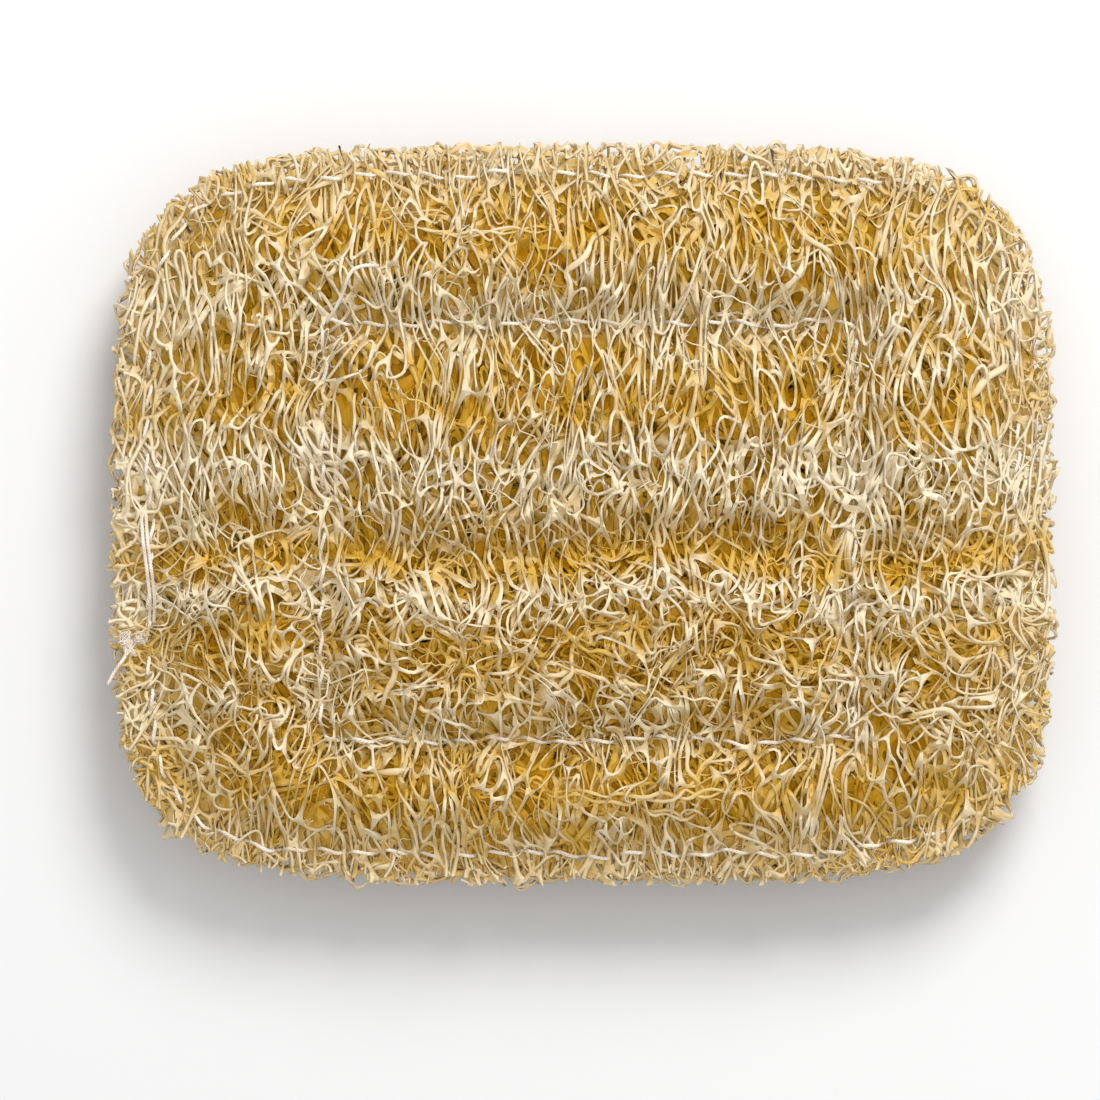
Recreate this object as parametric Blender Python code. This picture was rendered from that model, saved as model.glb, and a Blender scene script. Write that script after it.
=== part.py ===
"""Natural loofah sponge: a pad of flattened loofah gourd, held flat by two lockstitched seams.

The pad lies on the XY plane with +Z up, its length along X and its origin under its middle.
The gourd's fibre network is one body: a springy mat whose whole surface is a raised net.
Each seam has a needle thread above the mat and a bobbin thread below it, which meet half way
down every needle hole. Lengths are in metres.
"""

import math
import random

import bmesh
import bpy
from mathutils import Vector

MM = 0.001
SEED = 20

# The pad's outline is a superellipse, a rectangle with wide round corners and slightly bowed sides
HALF_LENGTH = 57.0 * MM
HALF_WIDTH = 44.7 * MM
OUTLINE_POWER = 4.7
# Up to the first share of the way out the net's rows are straight, and past the second they
# follow the outline
STRAIGHT_SHARE = 0.62
ROUND_SHARE = 0.90

# The outer seam runs round at this share of the outline, and the inner one is a rectangle
OUTER_SEAM_SHARE = 0.91
INNER_SEAM_LEFT = -31.0 * MM
INNER_SEAM_RIGHT = 32.5 * MM
INNER_SEAM_BACK = 22.8 * MM
INNER_SEAM_FRONT = -27.0 * MM

# Heights of the mat above the surface that it lies on
RIM_TOP = 10.0 * MM
RIM_BOTTOM = 4.0 * MM
OUTER_SEAM_TOP = 10.4 * MM
OUTER_SEAM_BOTTOM = 4.0 * MM
INNER_SEAM_TOP = 13.4 * MM
INNER_SEAM_BOTTOM = 2.4 * MM
PANEL_TOP = 17.2 * MM
PANEL_BOTTOM = -1.0 * MM
# How far from the outer and the inner seam the mat has swelled back, and how sharply
OUTER_PINCH = 5.5 * MM
OUTER_PINCH_POWER = 1.5
INNER_PINCH = 3.6 * MM
INNER_PINCH_POWER = 2.0

# One crosswise fold: a hollow between two swellings
FOLD_HOLLOW_Y = -2.8 * MM
FOLD_HOLLOW_DEPTH = 4.2 * MM
FOLD_HOLLOW_WIDTH = 3.6 * MM
FOLD_RIDGE_Y = -9.4 * MM
FOLD_RIDGE_HEIGHT = 1.6 * MM
FOLD_RIDGE_WIDTH = 4.4 * MM
FOLD_WAVE = 1.1 * MM
FOLD_WAVE_LENGTH = 46.0 * MM

# Sewing: whole stitches lie between all knots of the net along a seam
STITCH_PITCH = 4.05 * MM
INNER_SEAM_STITCHES_ALONG_X = 16
INNER_SEAM_STITCHES_ALONG_Y = 12
THREAD_RADIUS = 0.30 * MM
THREAD_LIFT = 0.95 * MM
LEG_SPREAD = 0.25 * MM
LINK_GAP = 0.48 * MM
HOLE_HALF_LENGTH = 1.1 * MM
HOLE_HALF_WIDTH = 0.72 * MM
SHARP_BEND_COSINE = 0.5
TAIL = (
    Vector((-31.9 * MM, 24.6 * MM, INNER_SEAM_TOP + 3.0 * MM)),
    Vector((-29.6 * MM, 27.6 * MM, INNER_SEAM_TOP + 4.6 * MM)),
    Vector((-27.3 * MM, 29.0 * MM, INNER_SEAM_TOP + 5.3 * MM)),
    Vector((-24.4 * MM, 29.2 * MM, INNER_SEAM_TOP + 5.6 * MM)),
)

# Columns and rows of the net, those inside the inner seam as stitches from its left and front sides
COLUMNS_OUTSIDE = 4
COLUMNS_INSIDE = (0, 1, 3, 4, 6, 8, 9, 11, 12, 14, 16)
ROWS_INSIDE = (0, 2, 4, 6, 8, 10, 12)
FRONT_PANEL_ROW = -34.0 * MM
BACK_PANEL_ROW = 31.2 * MM
# Row of the net where the outer seam starts, counted from the front rim
OUTER_SEAM_START_ROW = 4
RING_SAMPLES = 8

# The net: how wide its strands are and how deep its meshes sink
STRAND_HALF_WIDTHS = (0.62 * MM, 0.74 * MM, 0.90 * MM)
SEAM_STRAND_HALF_WIDTH = 0.86 * MM
LEAST_MESH = 1.35
MESH_DEPTH = 2.5 * MM
THIN_MESH_DEPTH = 1.3 * MM
THIN_FROM_SHARE = 0.81
LEAST_DEPTH_SHARE = 0.75
MOST_DEPTH_SHARE = 1.15
MERGED_SHARE = 0.62
MERGE_DISORDER = 0.7
WIDEST_CORNER = math.radians(166)
SHAKE = 0.24
RIM_RAGGEDNESS = 0.7 * MM
HEIGHT_SHAKE = 0.7 * MM
# A web of the net pressed flat underneath, where the pad rests
FLAT_SPOT = Vector((0.9 * MM, -14.0 * MM))
FACING_DOWN = -0.99


def clear_scene():
    """Removes every object that the scene holds."""
    for obj in list(bpy.data.objects):
        bpy.data.objects.remove(obj)


def new_collection(name):
    """Returns a new collection in the scene."""
    made = bpy.data.collections.new(name)
    bpy.context.scene.collection.children.link(made)
    return made


def new_material(name, colour, roughness):
    """Returns a Principled material of one colour."""
    made = bpy.data.materials.new(name)
    made.use_nodes = True
    shader = made.node_tree.nodes["Principled BSDF"]
    shader.inputs["Base Color"].default_value = (*colour, 1.0)
    shader.inputs["Roughness"].default_value = roughness
    shader.inputs["Metallic"].default_value = 0.0
    made.diffuse_color = (*colour, 1.0)
    return made


def smooth_step(low, high, value):
    """Rises smoothly from 0 at low to 1 at high."""
    share = min(1.0, max(0.0, (value - low) / (high - low)))
    return share * share * (3 - 2 * share)


# Height of the mat


def ring_share(point):
    """How far out a point of the plan lies: 0 at the middle and 1 at the outline."""
    x = abs(point[0]) / HALF_LENGTH
    y = abs(point[1]) / HALF_WIDTH
    return (x**OUTLINE_POWER + y**OUTLINE_POWER) ** (1 / OUTLINE_POWER)


def inner_seam_distance(point):
    """Distance in plan from the rectangle of the inner seam."""
    beyond_x = max(INNER_SEAM_LEFT - point[0], point[0] - INNER_SEAM_RIGHT)
    beyond_y = max(INNER_SEAM_FRONT - point[1], point[1] - INNER_SEAM_BACK)
    if beyond_x > 0 or beyond_y > 0:
        return math.hypot(max(beyond_x, 0.0), max(beyond_y, 0.0))
    return min(-beyond_x, -beyond_y)


def swell(distance, reach, power):
    """Rises from 0 on a seam to nearly 1 at twice its reach."""
    return 1 - math.exp(-((distance / reach) ** power))


def fold_relief(point):
    """Height that the crosswise fold adds: a hollow, and the swelling in front of it."""
    wave = FOLD_WAVE * math.sin(point[0] / FOLD_WAVE_LENGTH * 2 * math.pi)
    hollow = (point[1] - FOLD_HOLLOW_Y - wave) / FOLD_HOLLOW_WIDTH
    ridge = (point[1] - FOLD_RIDGE_Y - wave) / FOLD_RIDGE_WIDTH
    return FOLD_RIDGE_HEIGHT * math.exp(-ridge * ridge) - FOLD_HOLLOW_DEPTH * math.exp(-hollow * hollow)


def pinched_height(point, rim, outer_seam, inner_seam, panel, relief):
    """Height over a point of the plan of a face that is drawn in at both seams and swells between them."""
    share = ring_share(point)
    if share > OUTER_SEAM_SHARE:
        return outer_seam + (rim - outer_seam) * (share - OUTER_SEAM_SHARE) / (1 - OUTER_SEAM_SHARE)
    away = swell((OUTER_SEAM_SHARE - share) * HALF_WIDTH, OUTER_PINCH, OUTER_PINCH_POWER)
    height = outer_seam + (panel + relief - outer_seam) * away
    inside = swell(inner_seam_distance(point), INNER_PINCH, INNER_PINCH_POWER)
    return inner_seam + (height - inner_seam) * inside


def top_height(point):
    """Height of the mat's upper face over a point of the plan."""
    return pinched_height(point, RIM_TOP, OUTER_SEAM_TOP, INNER_SEAM_TOP, PANEL_TOP, fold_relief(point))


def bottom_height(point):
    """Height of the mat's lower face, which lies flat on the surface under it except near the seams."""
    height = pinched_height(point, RIM_BOTTOM, OUTER_SEAM_BOTTOM, INNER_SEAM_BOTTOM, PANEL_BOTTOM, 0.0)
    return max(0.0, height)


# Plan of the net


def plan_point(u, v):
    """Maps a point of the square from -1 to 1 onto the pad, rows straight inside and round outside."""
    ring = max(abs(u), abs(v))
    if ring == 0:
        return Vector((0.0, 0.0))
    radius = (abs(u / ring) ** OUTLINE_POWER + abs(v / ring) ** OUTLINE_POWER) ** (-1 / OUTLINE_POWER)
    bend = smooth_step(STRAIGHT_SHARE, ROUND_SHARE, ring)
    return Vector((u * HALF_LENGTH, v * HALF_WIDTH)) * (1 + bend * (radius - 1))


def even_lines(first, last, count):
    """Places between first and last that split the way into count equal steps."""
    return [first + (last - first) * step / count for step in range(1, count)]


def column_lines():
    """Places of the net's columns as shares of the half length, from left to right."""
    seam = OUTER_SEAM_SHARE * HALF_LENGTH
    stitch = (INNER_SEAM_RIGHT - INNER_SEAM_LEFT) / INNER_SEAM_STITCHES_ALONG_X
    left = even_lines(-seam, INNER_SEAM_LEFT, COLUMNS_OUTSIDE)
    inside = [INNER_SEAM_LEFT + stitch * count for count in COLUMNS_INSIDE]
    right = even_lines(INNER_SEAM_RIGHT, seam, COLUMNS_OUTSIDE)
    lines = [-HALF_LENGTH, -seam, *left, *inside, *right, seam, HALF_LENGTH]
    return [line / HALF_LENGTH for line in lines]


def row_lines():
    """Places of the net's rows as shares of the half width, from front to back."""
    seam = OUTER_SEAM_SHARE * HALF_WIDTH
    stitch = (INNER_SEAM_BACK - INNER_SEAM_FRONT) / INNER_SEAM_STITCHES_ALONG_Y
    inside = [INNER_SEAM_FRONT + stitch * count for count in ROWS_INSIDE]
    lines = [-HALF_WIDTH, -seam, FRONT_PANEL_ROW, *inside, BACK_PANEL_ROW, seam, HALF_WIDTH]
    return [line / HALF_WIDTH for line in lines]


def knots_round(left, right, front, back, start_row):
    """Knots round a rectangle of the net, anticlockwise from its left side in the start row."""
    knots = [(left, row) for row in range(start_row, front, -1)]
    knots += [(column, front) for column in range(left, right)]
    knots += [(right, row) for row in range(front, back)]
    knots += [(column, back) for column in range(right, left, -1)]
    knots += [(left, row) for row in range(back, start_row, -1)]
    return [*knots, (left, start_row)]


def outer_seam_knots():
    """Knots of the net along the outer seam."""
    return knots_round(1, len(column_lines()) - 2, 1, len(row_lines()) - 2, OUTER_SEAM_START_ROW)


def inner_seam_knots():
    """Knots of the net along the inner seam, from its back left corner."""
    left = 1 + COLUMNS_OUTSIDE
    front = 3
    back = front + len(ROWS_INSIDE) - 1
    return knots_round(left, left + len(COLUMNS_INSIDE) - 1, front, back, back)


def whole_stitch_places(square_points):
    """Moves the knots of the outer seam along it, so that whole stitches lie between them."""
    samples = []
    for first, second in zip(square_points, square_points[1:]):
        samples += [first.lerp(second, step / RING_SAMPLES) for step in range(RING_SAMPLES)]
    path = [plan_point(*sample) for sample in [*samples, square_points[-1]]]
    walked = [0.0]
    for first, second in zip(path, path[1:]):
        walked.append(walked[-1] + (second - first).length)
    pitch = walked[-1] / round(walked[-1] / STITCH_PITCH)
    places = []
    stitches = -1
    for number in range(len(square_points) - 1):
        stitches = max(stitches + 1, round(walked[number * RING_SAMPLES] / pitch))
        spot = next(index for index, length in enumerate(walked) if length > stitches * pitch)
        share = (stitches * pitch - walked[spot - 1]) / (walked[spot] - walked[spot - 1])
        places.append(path[spot - 1].lerp(path[spot], share))
    return places


def net_plan():
    """Place in plan of every knot of the net, by column and row, before the knots are shaken out of line."""
    columns = column_lines()
    rows = row_lines()
    plan = {}
    for column, u in enumerate(columns):
        for row, v in enumerate(rows):
            plan[column, row] = plan_point(u, v)
    knots = outer_seam_knots()
    square_points = [Vector((columns[column], rows[row])) for column, row in knots]
    plan.update(zip(knots, whole_stitch_places(square_points)))
    return plan


def stitches_between(first, second):
    """Place and direction of each needle hole between two knots of a seam."""
    way = second - first
    count = max(1, round(way.length / STITCH_PITCH))
    return [(first + way * ((number + 0.5) / count), way.normalized()) for number in range(count)]


# The mat of loofah fibre


def add_sheet(mesh, rng, plan, seam_knots, height_of, shake_height):
    """Adds one face of the mat, a grid laid on the net's plan, and returns its vertex at every knot."""
    across = len(column_lines()) - 1
    along = len(row_lines()) - 1
    grid = bmesh.ops.create_grid(mesh, x_segments=across, y_segments=along, size=1.0)["verts"]
    verts = {}
    for vert in grid:
        column = round((vert.co.x + 1) / 2 * across)
        row = round((vert.co.y + 1) / 2 * along)
        verts[column, row] = vert
    for (column, row), vert in sorted(verts.items(), key=lambda item: item[0]):
        point = plan[column, row].copy()
        height = height_of(point)
        if column in (0, across) or row in (0, along):
            point *= 1 - rng.uniform(0, RIM_RAGGEDNESS) / point.length
        elif (column, row) not in seam_knots:
            step_x = min(plan[column + 1, row].x - point.x, point.x - plan[column - 1, row].x)
            step_y = min(plan[column, row + 1].y - point.y, point.y - plan[column, row - 1].y)
            point += Vector((rng.uniform(-SHAKE, SHAKE) * step_x, rng.uniform(-SHAKE, SHAKE) * step_y))
            height = height_of(point) + rng.uniform(-1, 1) * shake_height
        vert.co = Vector((*point, max(0.0, height)))
    return verts


def corner_sum(edge, vert):
    """Angle at vert of the mesh that joining the two faces beside edge would make."""
    total = 0.0
    for face in edge.link_faces:
        total += next(loop.calc_angle() for loop in face.loops if loop.vert == vert)
    return total


def merge_meshes(mesh, rng, faces, kept):
    """Joins pairs of triangles into longer meshes, crosswise edges first, as most fibres run along Y."""
    mesh.edges.index_update()
    edges = {edge for face in faces for edge in face.edges if len(edge.link_faces) == 2} - kept

    def crosswise(edge):
        way = edge.verts[0].co - edge.verts[1].co
        return abs(way.y) / way.length + rng.uniform(0, MERGE_DISORDER)

    joined = set()
    chosen = []
    for edge in sorted(sorted(edges, key=lambda edge: edge.index), key=crosswise):
        if len(joined) > MERGED_SHARE * len(faces):
            break
        if any(face in joined for face in edge.link_faces):
            continue
        if any(corner_sum(edge, vert) > WIDEST_CORNER for vert in edge.verts):
            continue
        joined.update(edge.link_faces)
        chosen.append(edge)
    bmesh.ops.dissolve_edges(mesh, edges=chosen, use_verts=False)


def is_wide(face, strand):
    """Whether a face is wide enough for strands of that half width round a sunk mesh."""
    return 2 * face.calc_area() / face.calc_perimeter() > LEAST_MESH * strand


def raise_net(mesh, rng, seam_verts):
    """Leaves a strand along every edge and sinks the mesh between the strands."""
    flat_spot = min(
        (face for face in mesh.faces if face.normal.z < FACING_DOWN),
        key=lambda face: (face.calc_center_median().xy - FLAT_SPOT).length,
    )
    cells = [face for face in mesh.faces if face != flat_spot]
    by_width = {width: [] for width in (*STRAND_HALF_WIDTHS, SEAM_STRAND_HALF_WIDTH)}
    for face in cells:
        by_seam = any(vert in seam_verts for vert in face.verts)
        width = SEAM_STRAND_HALF_WIDTH if by_seam else rng.choice(STRAND_HALF_WIDTHS)
        if is_wide(face, width):
            by_width[width].append(face)
    for width, faces in by_width.items():
        bmesh.ops.inset_individual(mesh, faces=faces, thickness=width, use_even_offset=True)
        for vert in bmesh.ops.poke(mesh, faces=faces, center_mode="MEAN")["verts"]:
            thin = ring_share(vert.co) > THIN_FROM_SHARE or inner_seam_distance(vert.co) < INNER_PINCH
            depth = THIN_MESH_DEPTH if thin else MESH_DEPTH
            vert.co -= vert.normal * (depth * rng.uniform(LEAST_DEPTH_SHARE, MOST_DEPTH_SHARE))


def open_hole(mesh, start, end):
    """Cuts a corner out of both faces beside a piece of a seam, and returns the edges round that opening."""
    middle = mesh.edges.get((start, end))
    centre = (start.co + end.co) / 2
    way = (end.co - start.co).normalized()
    corners = []
    for face in list(middle.link_faces):
        inwards = face.calc_center_median() - centre
        across = inwards - way * inwards.dot(way)
        tip = centre + across * (HOLE_HALF_WIDTH / across.xy.length)
        piece = bmesh.utils.face_split(face, start, end, coords=[tip])[0]
        corners.append(min(face, piece, key=lambda face: len(face.verts)))
    opening = [edge for face in corners for edge in face.edges if edge != middle]
    bmesh.ops.delete(mesh, geom=corners, context="FACES")
    return opening


def open_holes(mesh, verts, seam):
    """Opens every needle hole of a seam in one face of the mat, and returns the edges round each opening."""
    openings = []
    for first, second in zip(seam, seam[1:]):
        vert = verts[first]
        last = verts[second]
        for place, way in stitches_between(vert.co.xy, last.co.xy):
            ends = []
            for side in (-1, 1):
                end = place + way * (side * HOLE_HALF_LENGTH)
                share = (end - vert.co.xy).length / (last.co.xy - vert.co.xy).length
                vert = bmesh.utils.edge_split(mesh.edges.get((vert, last)), vert, share)[1]
                ends.append(vert)
            openings.append(open_hole(mesh, *ends))
    return openings


def build_mat(plan, collection, material):
    """Builds the fibre network: upper face, lower face and the rim between them, all one raised net."""
    seams = (outer_seam_knots(), inner_seam_knots())
    seam_knots = {knot for seam in seams for knot in seam}
    mesh = bmesh.new()
    rng = random.Random(SEED)
    upper = add_sheet(mesh, rng, plan, seam_knots, top_height, HEIGHT_SHAKE)
    lower = add_sheet(mesh, rng, plan, seam_knots, bottom_height, 0.0)
    bmesh.ops.triangulate(mesh, faces=mesh.faces, quad_method="SHORT_EDGE")
    kept = set()
    for verts in (upper, lower):
        for seam in seams:
            kept |= {mesh.edges.get((verts[a], verts[b])) for a, b in zip(seam, seam[1:])}
    merge_meshes(mesh, rng, list(mesh.faces), kept)
    rims = [edge for edge in mesh.edges if edge.is_boundary]
    walls = bmesh.ops.bridge_loops(mesh, edges=rims)["faces"]
    walls = bmesh.ops.triangulate(mesh, faces=walls, quad_method="SHORT_EDGE")["faces"]
    merge_meshes(mesh, rng, walls, set(rims))
    bmesh.ops.recalc_face_normals(mesh, faces=mesh.faces)
    raise_net(mesh, rng, {verts[knot] for verts in (upper, lower) for knot in seam_knots})
    for seam in seams:
        for above, below in zip(open_holes(mesh, upper, seam), open_holes(mesh, lower, seam)):
            bmesh.ops.bridge_loops(mesh, edges=above + below)
    for vert in mesh.verts:
        vert.co.z = max(0.0, vert.co.z)
    bmesh.ops.triangulate(mesh, faces=mesh.faces)
    bmesh.ops.recalc_face_normals(mesh, faces=mesh.faces)
    data = bpy.data.meshes.new("loofah_mat")
    mesh.to_mesh(data)
    mesh.free()
    data.materials.append(material)
    collection.objects.link(bpy.data.objects.new("loofah_mat", data))


# The seams


def thread_points(corners, run_height, link_height):
    """Points of one thread: along the mat from hole to hole, and into each hole to the other thread."""
    points = []
    last_way = None
    for first, second in zip(corners, corners[1:]):
        for place, way in stitches_between(first, second):
            if last_way and last_way.dot(way) < SHARP_BEND_COSINE:
                points.append(Vector((*first, run_height)))
            points.append(Vector((*(place - way * LEG_SPREAD), run_height)))
            points.append(Vector((*place, link_height)))
            points.append(Vector((*(place + way * LEG_SPREAD), run_height)))
            last_way = way
    return points


def add_thread(collection, name, points, material):
    """Adds one thread as a round cord through its points."""
    curve = bpy.data.curves.new(name, "CURVE")
    curve.dimensions = "3D"
    curve.bevel_depth = THREAD_RADIUS
    curve.bevel_resolution = 0
    curve.use_fill_caps = True
    curve.twist_mode = "Z_UP"
    spline = curve.splines.new("POLY")
    spline.points.add(len(points) - 1)
    for spot, point in zip(spline.points, points):
        spot.co = (*point, 1.0)
    curve.materials.append(material)
    collection.objects.link(bpy.data.objects.new(name, curve))


def sew(name, corners, top, bottom, collection, material, tail=()):
    """Sews one seam: a needle thread above the mat, maybe with a loose tail, and a bobbin thread below."""
    middle = (top + bottom) / 2
    needle = thread_points(corners, top + THREAD_LIFT, middle + LINK_GAP)[:-1]
    bobbin = thread_points(corners, bottom - THREAD_LIFT, middle - LINK_GAP)[1:-1]
    start = [*reversed(tail), needle[0]] if tail else []
    add_thread(collection, f"{name}_needle_thread", [*start, *needle[1:]], material)
    add_thread(collection, f"{name}_bobbin_thread", bobbin, material)


def main():
    """Builds the mat and sews both seams."""
    clear_scene()
    parts = new_collection("loofah_sponge")
    fibre = new_material("dried_loofah_fibre", (0.61, 0.42, 0.17), 0.7)
    cotton = new_material("cotton_thread", (0.80, 0.74, 0.66), 0.8)
    plan = net_plan()
    build_mat(plan, parts, fibre)
    outer = [plan[knot] for knot in outer_seam_knots()]
    inner = [plan[knot] for knot in inner_seam_knots()]
    sew("outer_seam", outer, OUTER_SEAM_TOP, OUTER_SEAM_BOTTOM, parts, cotton)
    sew("inner_seam", inner, INNER_SEAM_TOP, INNER_SEAM_BOTTOM, parts, cotton, TAIL)


main()
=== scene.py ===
"""Dresses the pressed loofah pad: its open net of fibres, its two seams, the floor, light and camera."""

import logging
import math
import random
from dataclasses import dataclass
from enum import Enum
from typing import Any

import bmesh
import bpy
import numpy as np
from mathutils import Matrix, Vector


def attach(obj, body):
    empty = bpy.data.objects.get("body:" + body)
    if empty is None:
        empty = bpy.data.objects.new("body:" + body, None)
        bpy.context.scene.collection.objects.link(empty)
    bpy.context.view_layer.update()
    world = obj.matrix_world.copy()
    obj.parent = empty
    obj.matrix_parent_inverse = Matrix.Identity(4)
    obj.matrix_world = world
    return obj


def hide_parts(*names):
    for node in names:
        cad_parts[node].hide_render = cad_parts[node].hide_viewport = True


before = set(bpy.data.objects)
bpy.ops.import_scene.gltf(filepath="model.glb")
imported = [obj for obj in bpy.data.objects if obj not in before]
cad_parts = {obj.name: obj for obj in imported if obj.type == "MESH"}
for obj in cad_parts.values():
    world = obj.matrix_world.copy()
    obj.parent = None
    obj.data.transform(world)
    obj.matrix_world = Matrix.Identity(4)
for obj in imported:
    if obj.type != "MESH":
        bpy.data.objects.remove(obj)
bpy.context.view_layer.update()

MM = 0.001
ROOT = "root"
# Vertex depth in the pad: the fibre colour turns golden and darker with it, as painted shade and scattered
# warm light.
PAINTED_SHADE_DEPTH = "depth"
# Vertex mark for the painted highlight along a strand's edge.
EDGE_HIGHLIGHT = "painted_edge_highlight"
INNER_REACH = 0.955
LOG = logging.getLogger("loofah_pad")

Array = np.ndarray
Socket = str | int
Links = dict[Socket, tuple[bpy.types.Node, str]]


# Form of the pad


@dataclass(frozen=True)
class Waves:
    """A smooth random field over the plan, as a sum of plane waves with random directions.

    Args:
        seed: Makes one field differ from another.
        length: Middle wavelength in metres.
        count: How many waves are added up.
    """

    seed: int
    length: float
    count: int = 20

    def at(self, x: Array, y: Array) -> Array:
        """Field at points of the plan.

        Args:
            x: Places along the pad in metres.
            y: Places across the pad in metres.

        Returns:
            Values round zero with a spread of about one.
        """
        rng = np.random.default_rng(self.seed)
        total = np.zeros_like(x)
        for _ in range(self.count):
            turn = rng.uniform(0, 2 * math.pi)
            length = self.length * rng.uniform(0.65, 1.6)
            way = x * math.cos(turn) + y * math.sin(turn)
            total += np.sin(way * (2 * math.pi / length) + rng.uniform(0, 2 * math.pi))
        return total * math.sqrt(2 / self.count)


@dataclass(frozen=True)
class PadForm:
    """Sizes of the pressed pad: a superellipse in plan, drawn in at its seams and swollen between them.

    Two tables give the painted light and shade on the upper face, as depth in millimetres: a strip of painted
    light along the inner seam, by depth and width, and crosswise bands, by depth, middle and width, where
    depth above zero paints shade and below zero paints light.
    """

    half_length: float = 57.0 * MM
    half_width: float = 44.7 * MM
    outline_power: float = 4.7
    outer_seam_share: float = 0.91
    inner_left: float = -31.0 * MM
    inner_right: float = 32.5 * MM
    inner_back: float = 22.8 * MM
    inner_front: float = -27.0 * MM
    rim_top: float = 10.0 * MM
    rim_bottom: float = 4.0 * MM
    outer_seam_top: float = 10.4 * MM
    outer_seam_bottom: float = 4.0 * MM
    inner_seam_top: float = 13.4 * MM
    inner_seam_bottom: float = 2.4 * MM
    panel_top: float = 17.2 * MM
    panel_bottom: float = -1.0 * MM
    outer_pinch: float = 5.5 * MM
    outer_pinch_power: float = 1.5
    inner_pinch: float = 3.6 * MM
    hollow_y: float = -4.0 * MM
    hollow_depth: float = 4.2 * MM
    hollow_width: float = 3.6 * MM
    ridge_y: float = -9.8 * MM
    ridge_height: float = 1.6 * MM
    ridge_width: float = 4.4 * MM
    fold_wave: float = 1.1 * MM
    fold_wave_length: float = 46.0 * MM

    # Painted light along the inner seam, and crosswise bands of painted light and shade that follow the
    # relief's slopes: depth above zero paints shade, below zero paints light.
    PAINTED_LIGHT_AT_INNER_SEAM = (-0.4, 3.0)
    PAINTED_LIGHT_AND_SHADE_BANDS = (
        (0.5, 39.5, 2.5),
        (0.6, 34.0, 4.0),
        (-0.6, 25.5, 3.0),
        (0.8, 12.6, 2.8),
        (-1.8, 5.0, 3.8),
        (1.3, -5.2, 2.4),
        (-1.2, -9.9, 2.4),
        (0.9, -15.5, 3.6),
        (0.6, -27.8, 3.0),
        (1.0, -34.0, 3.6),
        (0.5, -41.0, 3.0),
    )

    def share(self, x: Array, y: Array) -> Array:
        """How far out points of the plan lie: 0 at the middle and 1 at the outline."""
        power = self.outline_power
        along = (np.abs(x) / self.half_length) ** power
        across = (np.abs(y) / self.half_width) ** power
        return (along + across) ** (1 / power)

    def ring(self, turns: Array, power: float) -> tuple[Array, Array]:
        """Points of the pad's outline, or of one as large with squarer or rounder corners.

        Args:
            turns: Angles round the pad.
            power: Power of the superellipse.

        Returns:
            Places along and across the pad.
        """
        along = np.sign(np.cos(turns)) * np.abs(np.cos(turns)) ** (2 / power)
        across = np.sign(np.sin(turns)) * np.abs(np.sin(turns)) ** (2 / power)
        return self.half_length * along, self.half_width * across

    def inner_distance(self, x: Array, y: Array) -> Array:
        """Distance in plan from the rectangle of the inner seam."""
        beyond_x = np.maximum(self.inner_left - x, x - self.inner_right)
        beyond_y = np.maximum(self.inner_front - y, y - self.inner_back)
        outside = np.hypot(np.maximum(beyond_x, 0), np.maximum(beyond_y, 0))
        return np.where(np.maximum(beyond_x, beyond_y) > 0, outside, np.minimum(-beyond_x, -beyond_y))

    def _from_fold(self, x: Array, y: Array) -> Array:
        """Places across the pad, counted from the fold's wavy line."""
        return y - self.fold_wave * np.sin(x / self.fold_wave_length * 2 * math.pi)

    def fold(self, x: Array, y: Array) -> Array:
        """Height that the crosswise fold adds: a hollow, and the swelling in front of it."""
        along = self._from_fold(x, y)
        hollow = (along - self.hollow_y) / self.hollow_width
        ridge = (along - self.ridge_y) / self.ridge_width
        return self.ridge_height * np.exp(-ridge * ridge) - self.hollow_depth * np.exp(-hollow * hollow)

    def painted_light_and_shade(self, x: Array, y: Array) -> Array:
        """Painted light and shade on the upper face at places, as a depth: painted shade above zero, painted
        light below.
        """
        size, width = self.PAINTED_LIGHT_AT_INNER_SEAM
        total = size * MM * np.exp(-((self.inner_distance(x, y) / (width * MM)) ** 2))
        along = self._from_fold(x, y)
        for size, middle, width in self.PAINTED_LIGHT_AND_SHADE_BANDS:
            total = total + size * MM * np.exp(-(((along - middle * MM) / (width * MM)) ** 2))
        return total

    def _pinched(
        self, x: Array, y: Array, heights: tuple[float, float, float, float], relief: Array
    ) -> Array:
        """Height of a face that both seams draw in.

        Args:
            x: Places along the pad.
            y: Places across the pad.
            heights: Height at the rim, the outer seam, the inner seam and the panels.
            relief: Height added to the panels.

        Returns:
            Heights over the floor.
        """
        rim, outer_seam, inner_seam, panel = heights
        share = self.share(x, y)
        inwards = np.maximum(0.0, self.outer_seam_share - share) * self.half_width
        away = 1 - np.exp(-((inwards / self.outer_pinch) ** self.outer_pinch_power))
        height = outer_seam + (panel + relief - outer_seam) * away
        inside = 1 - np.exp(-((self.inner_distance(x, y) / self.inner_pinch) ** 2))
        height = inner_seam + (height - inner_seam) * inside
        past = np.clip((share - self.outer_seam_share) / (1 - self.outer_seam_share), 0, 1.3)
        return np.where(share > self.outer_seam_share, outer_seam + (rim - outer_seam) * past, height)

    def top(self, x: Array, y: Array) -> Array:
        """Height of the upper face over points of the plan."""
        heights = (self.rim_top, self.outer_seam_top, self.inner_seam_top, self.panel_top)
        return self._pinched(x, y, heights, self.fold(x, y))

    def bottom(self, x: Array, y: Array) -> Array:
        """Height of the lower face over points of the plan."""
        heights = (self.rim_bottom, self.outer_seam_bottom, self.inner_seam_bottom, self.panel_bottom)
        return np.maximum(0.0, self._pinched(x, y, heights, np.zeros_like(x)))


FORM = PadForm()


# Materials


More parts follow.
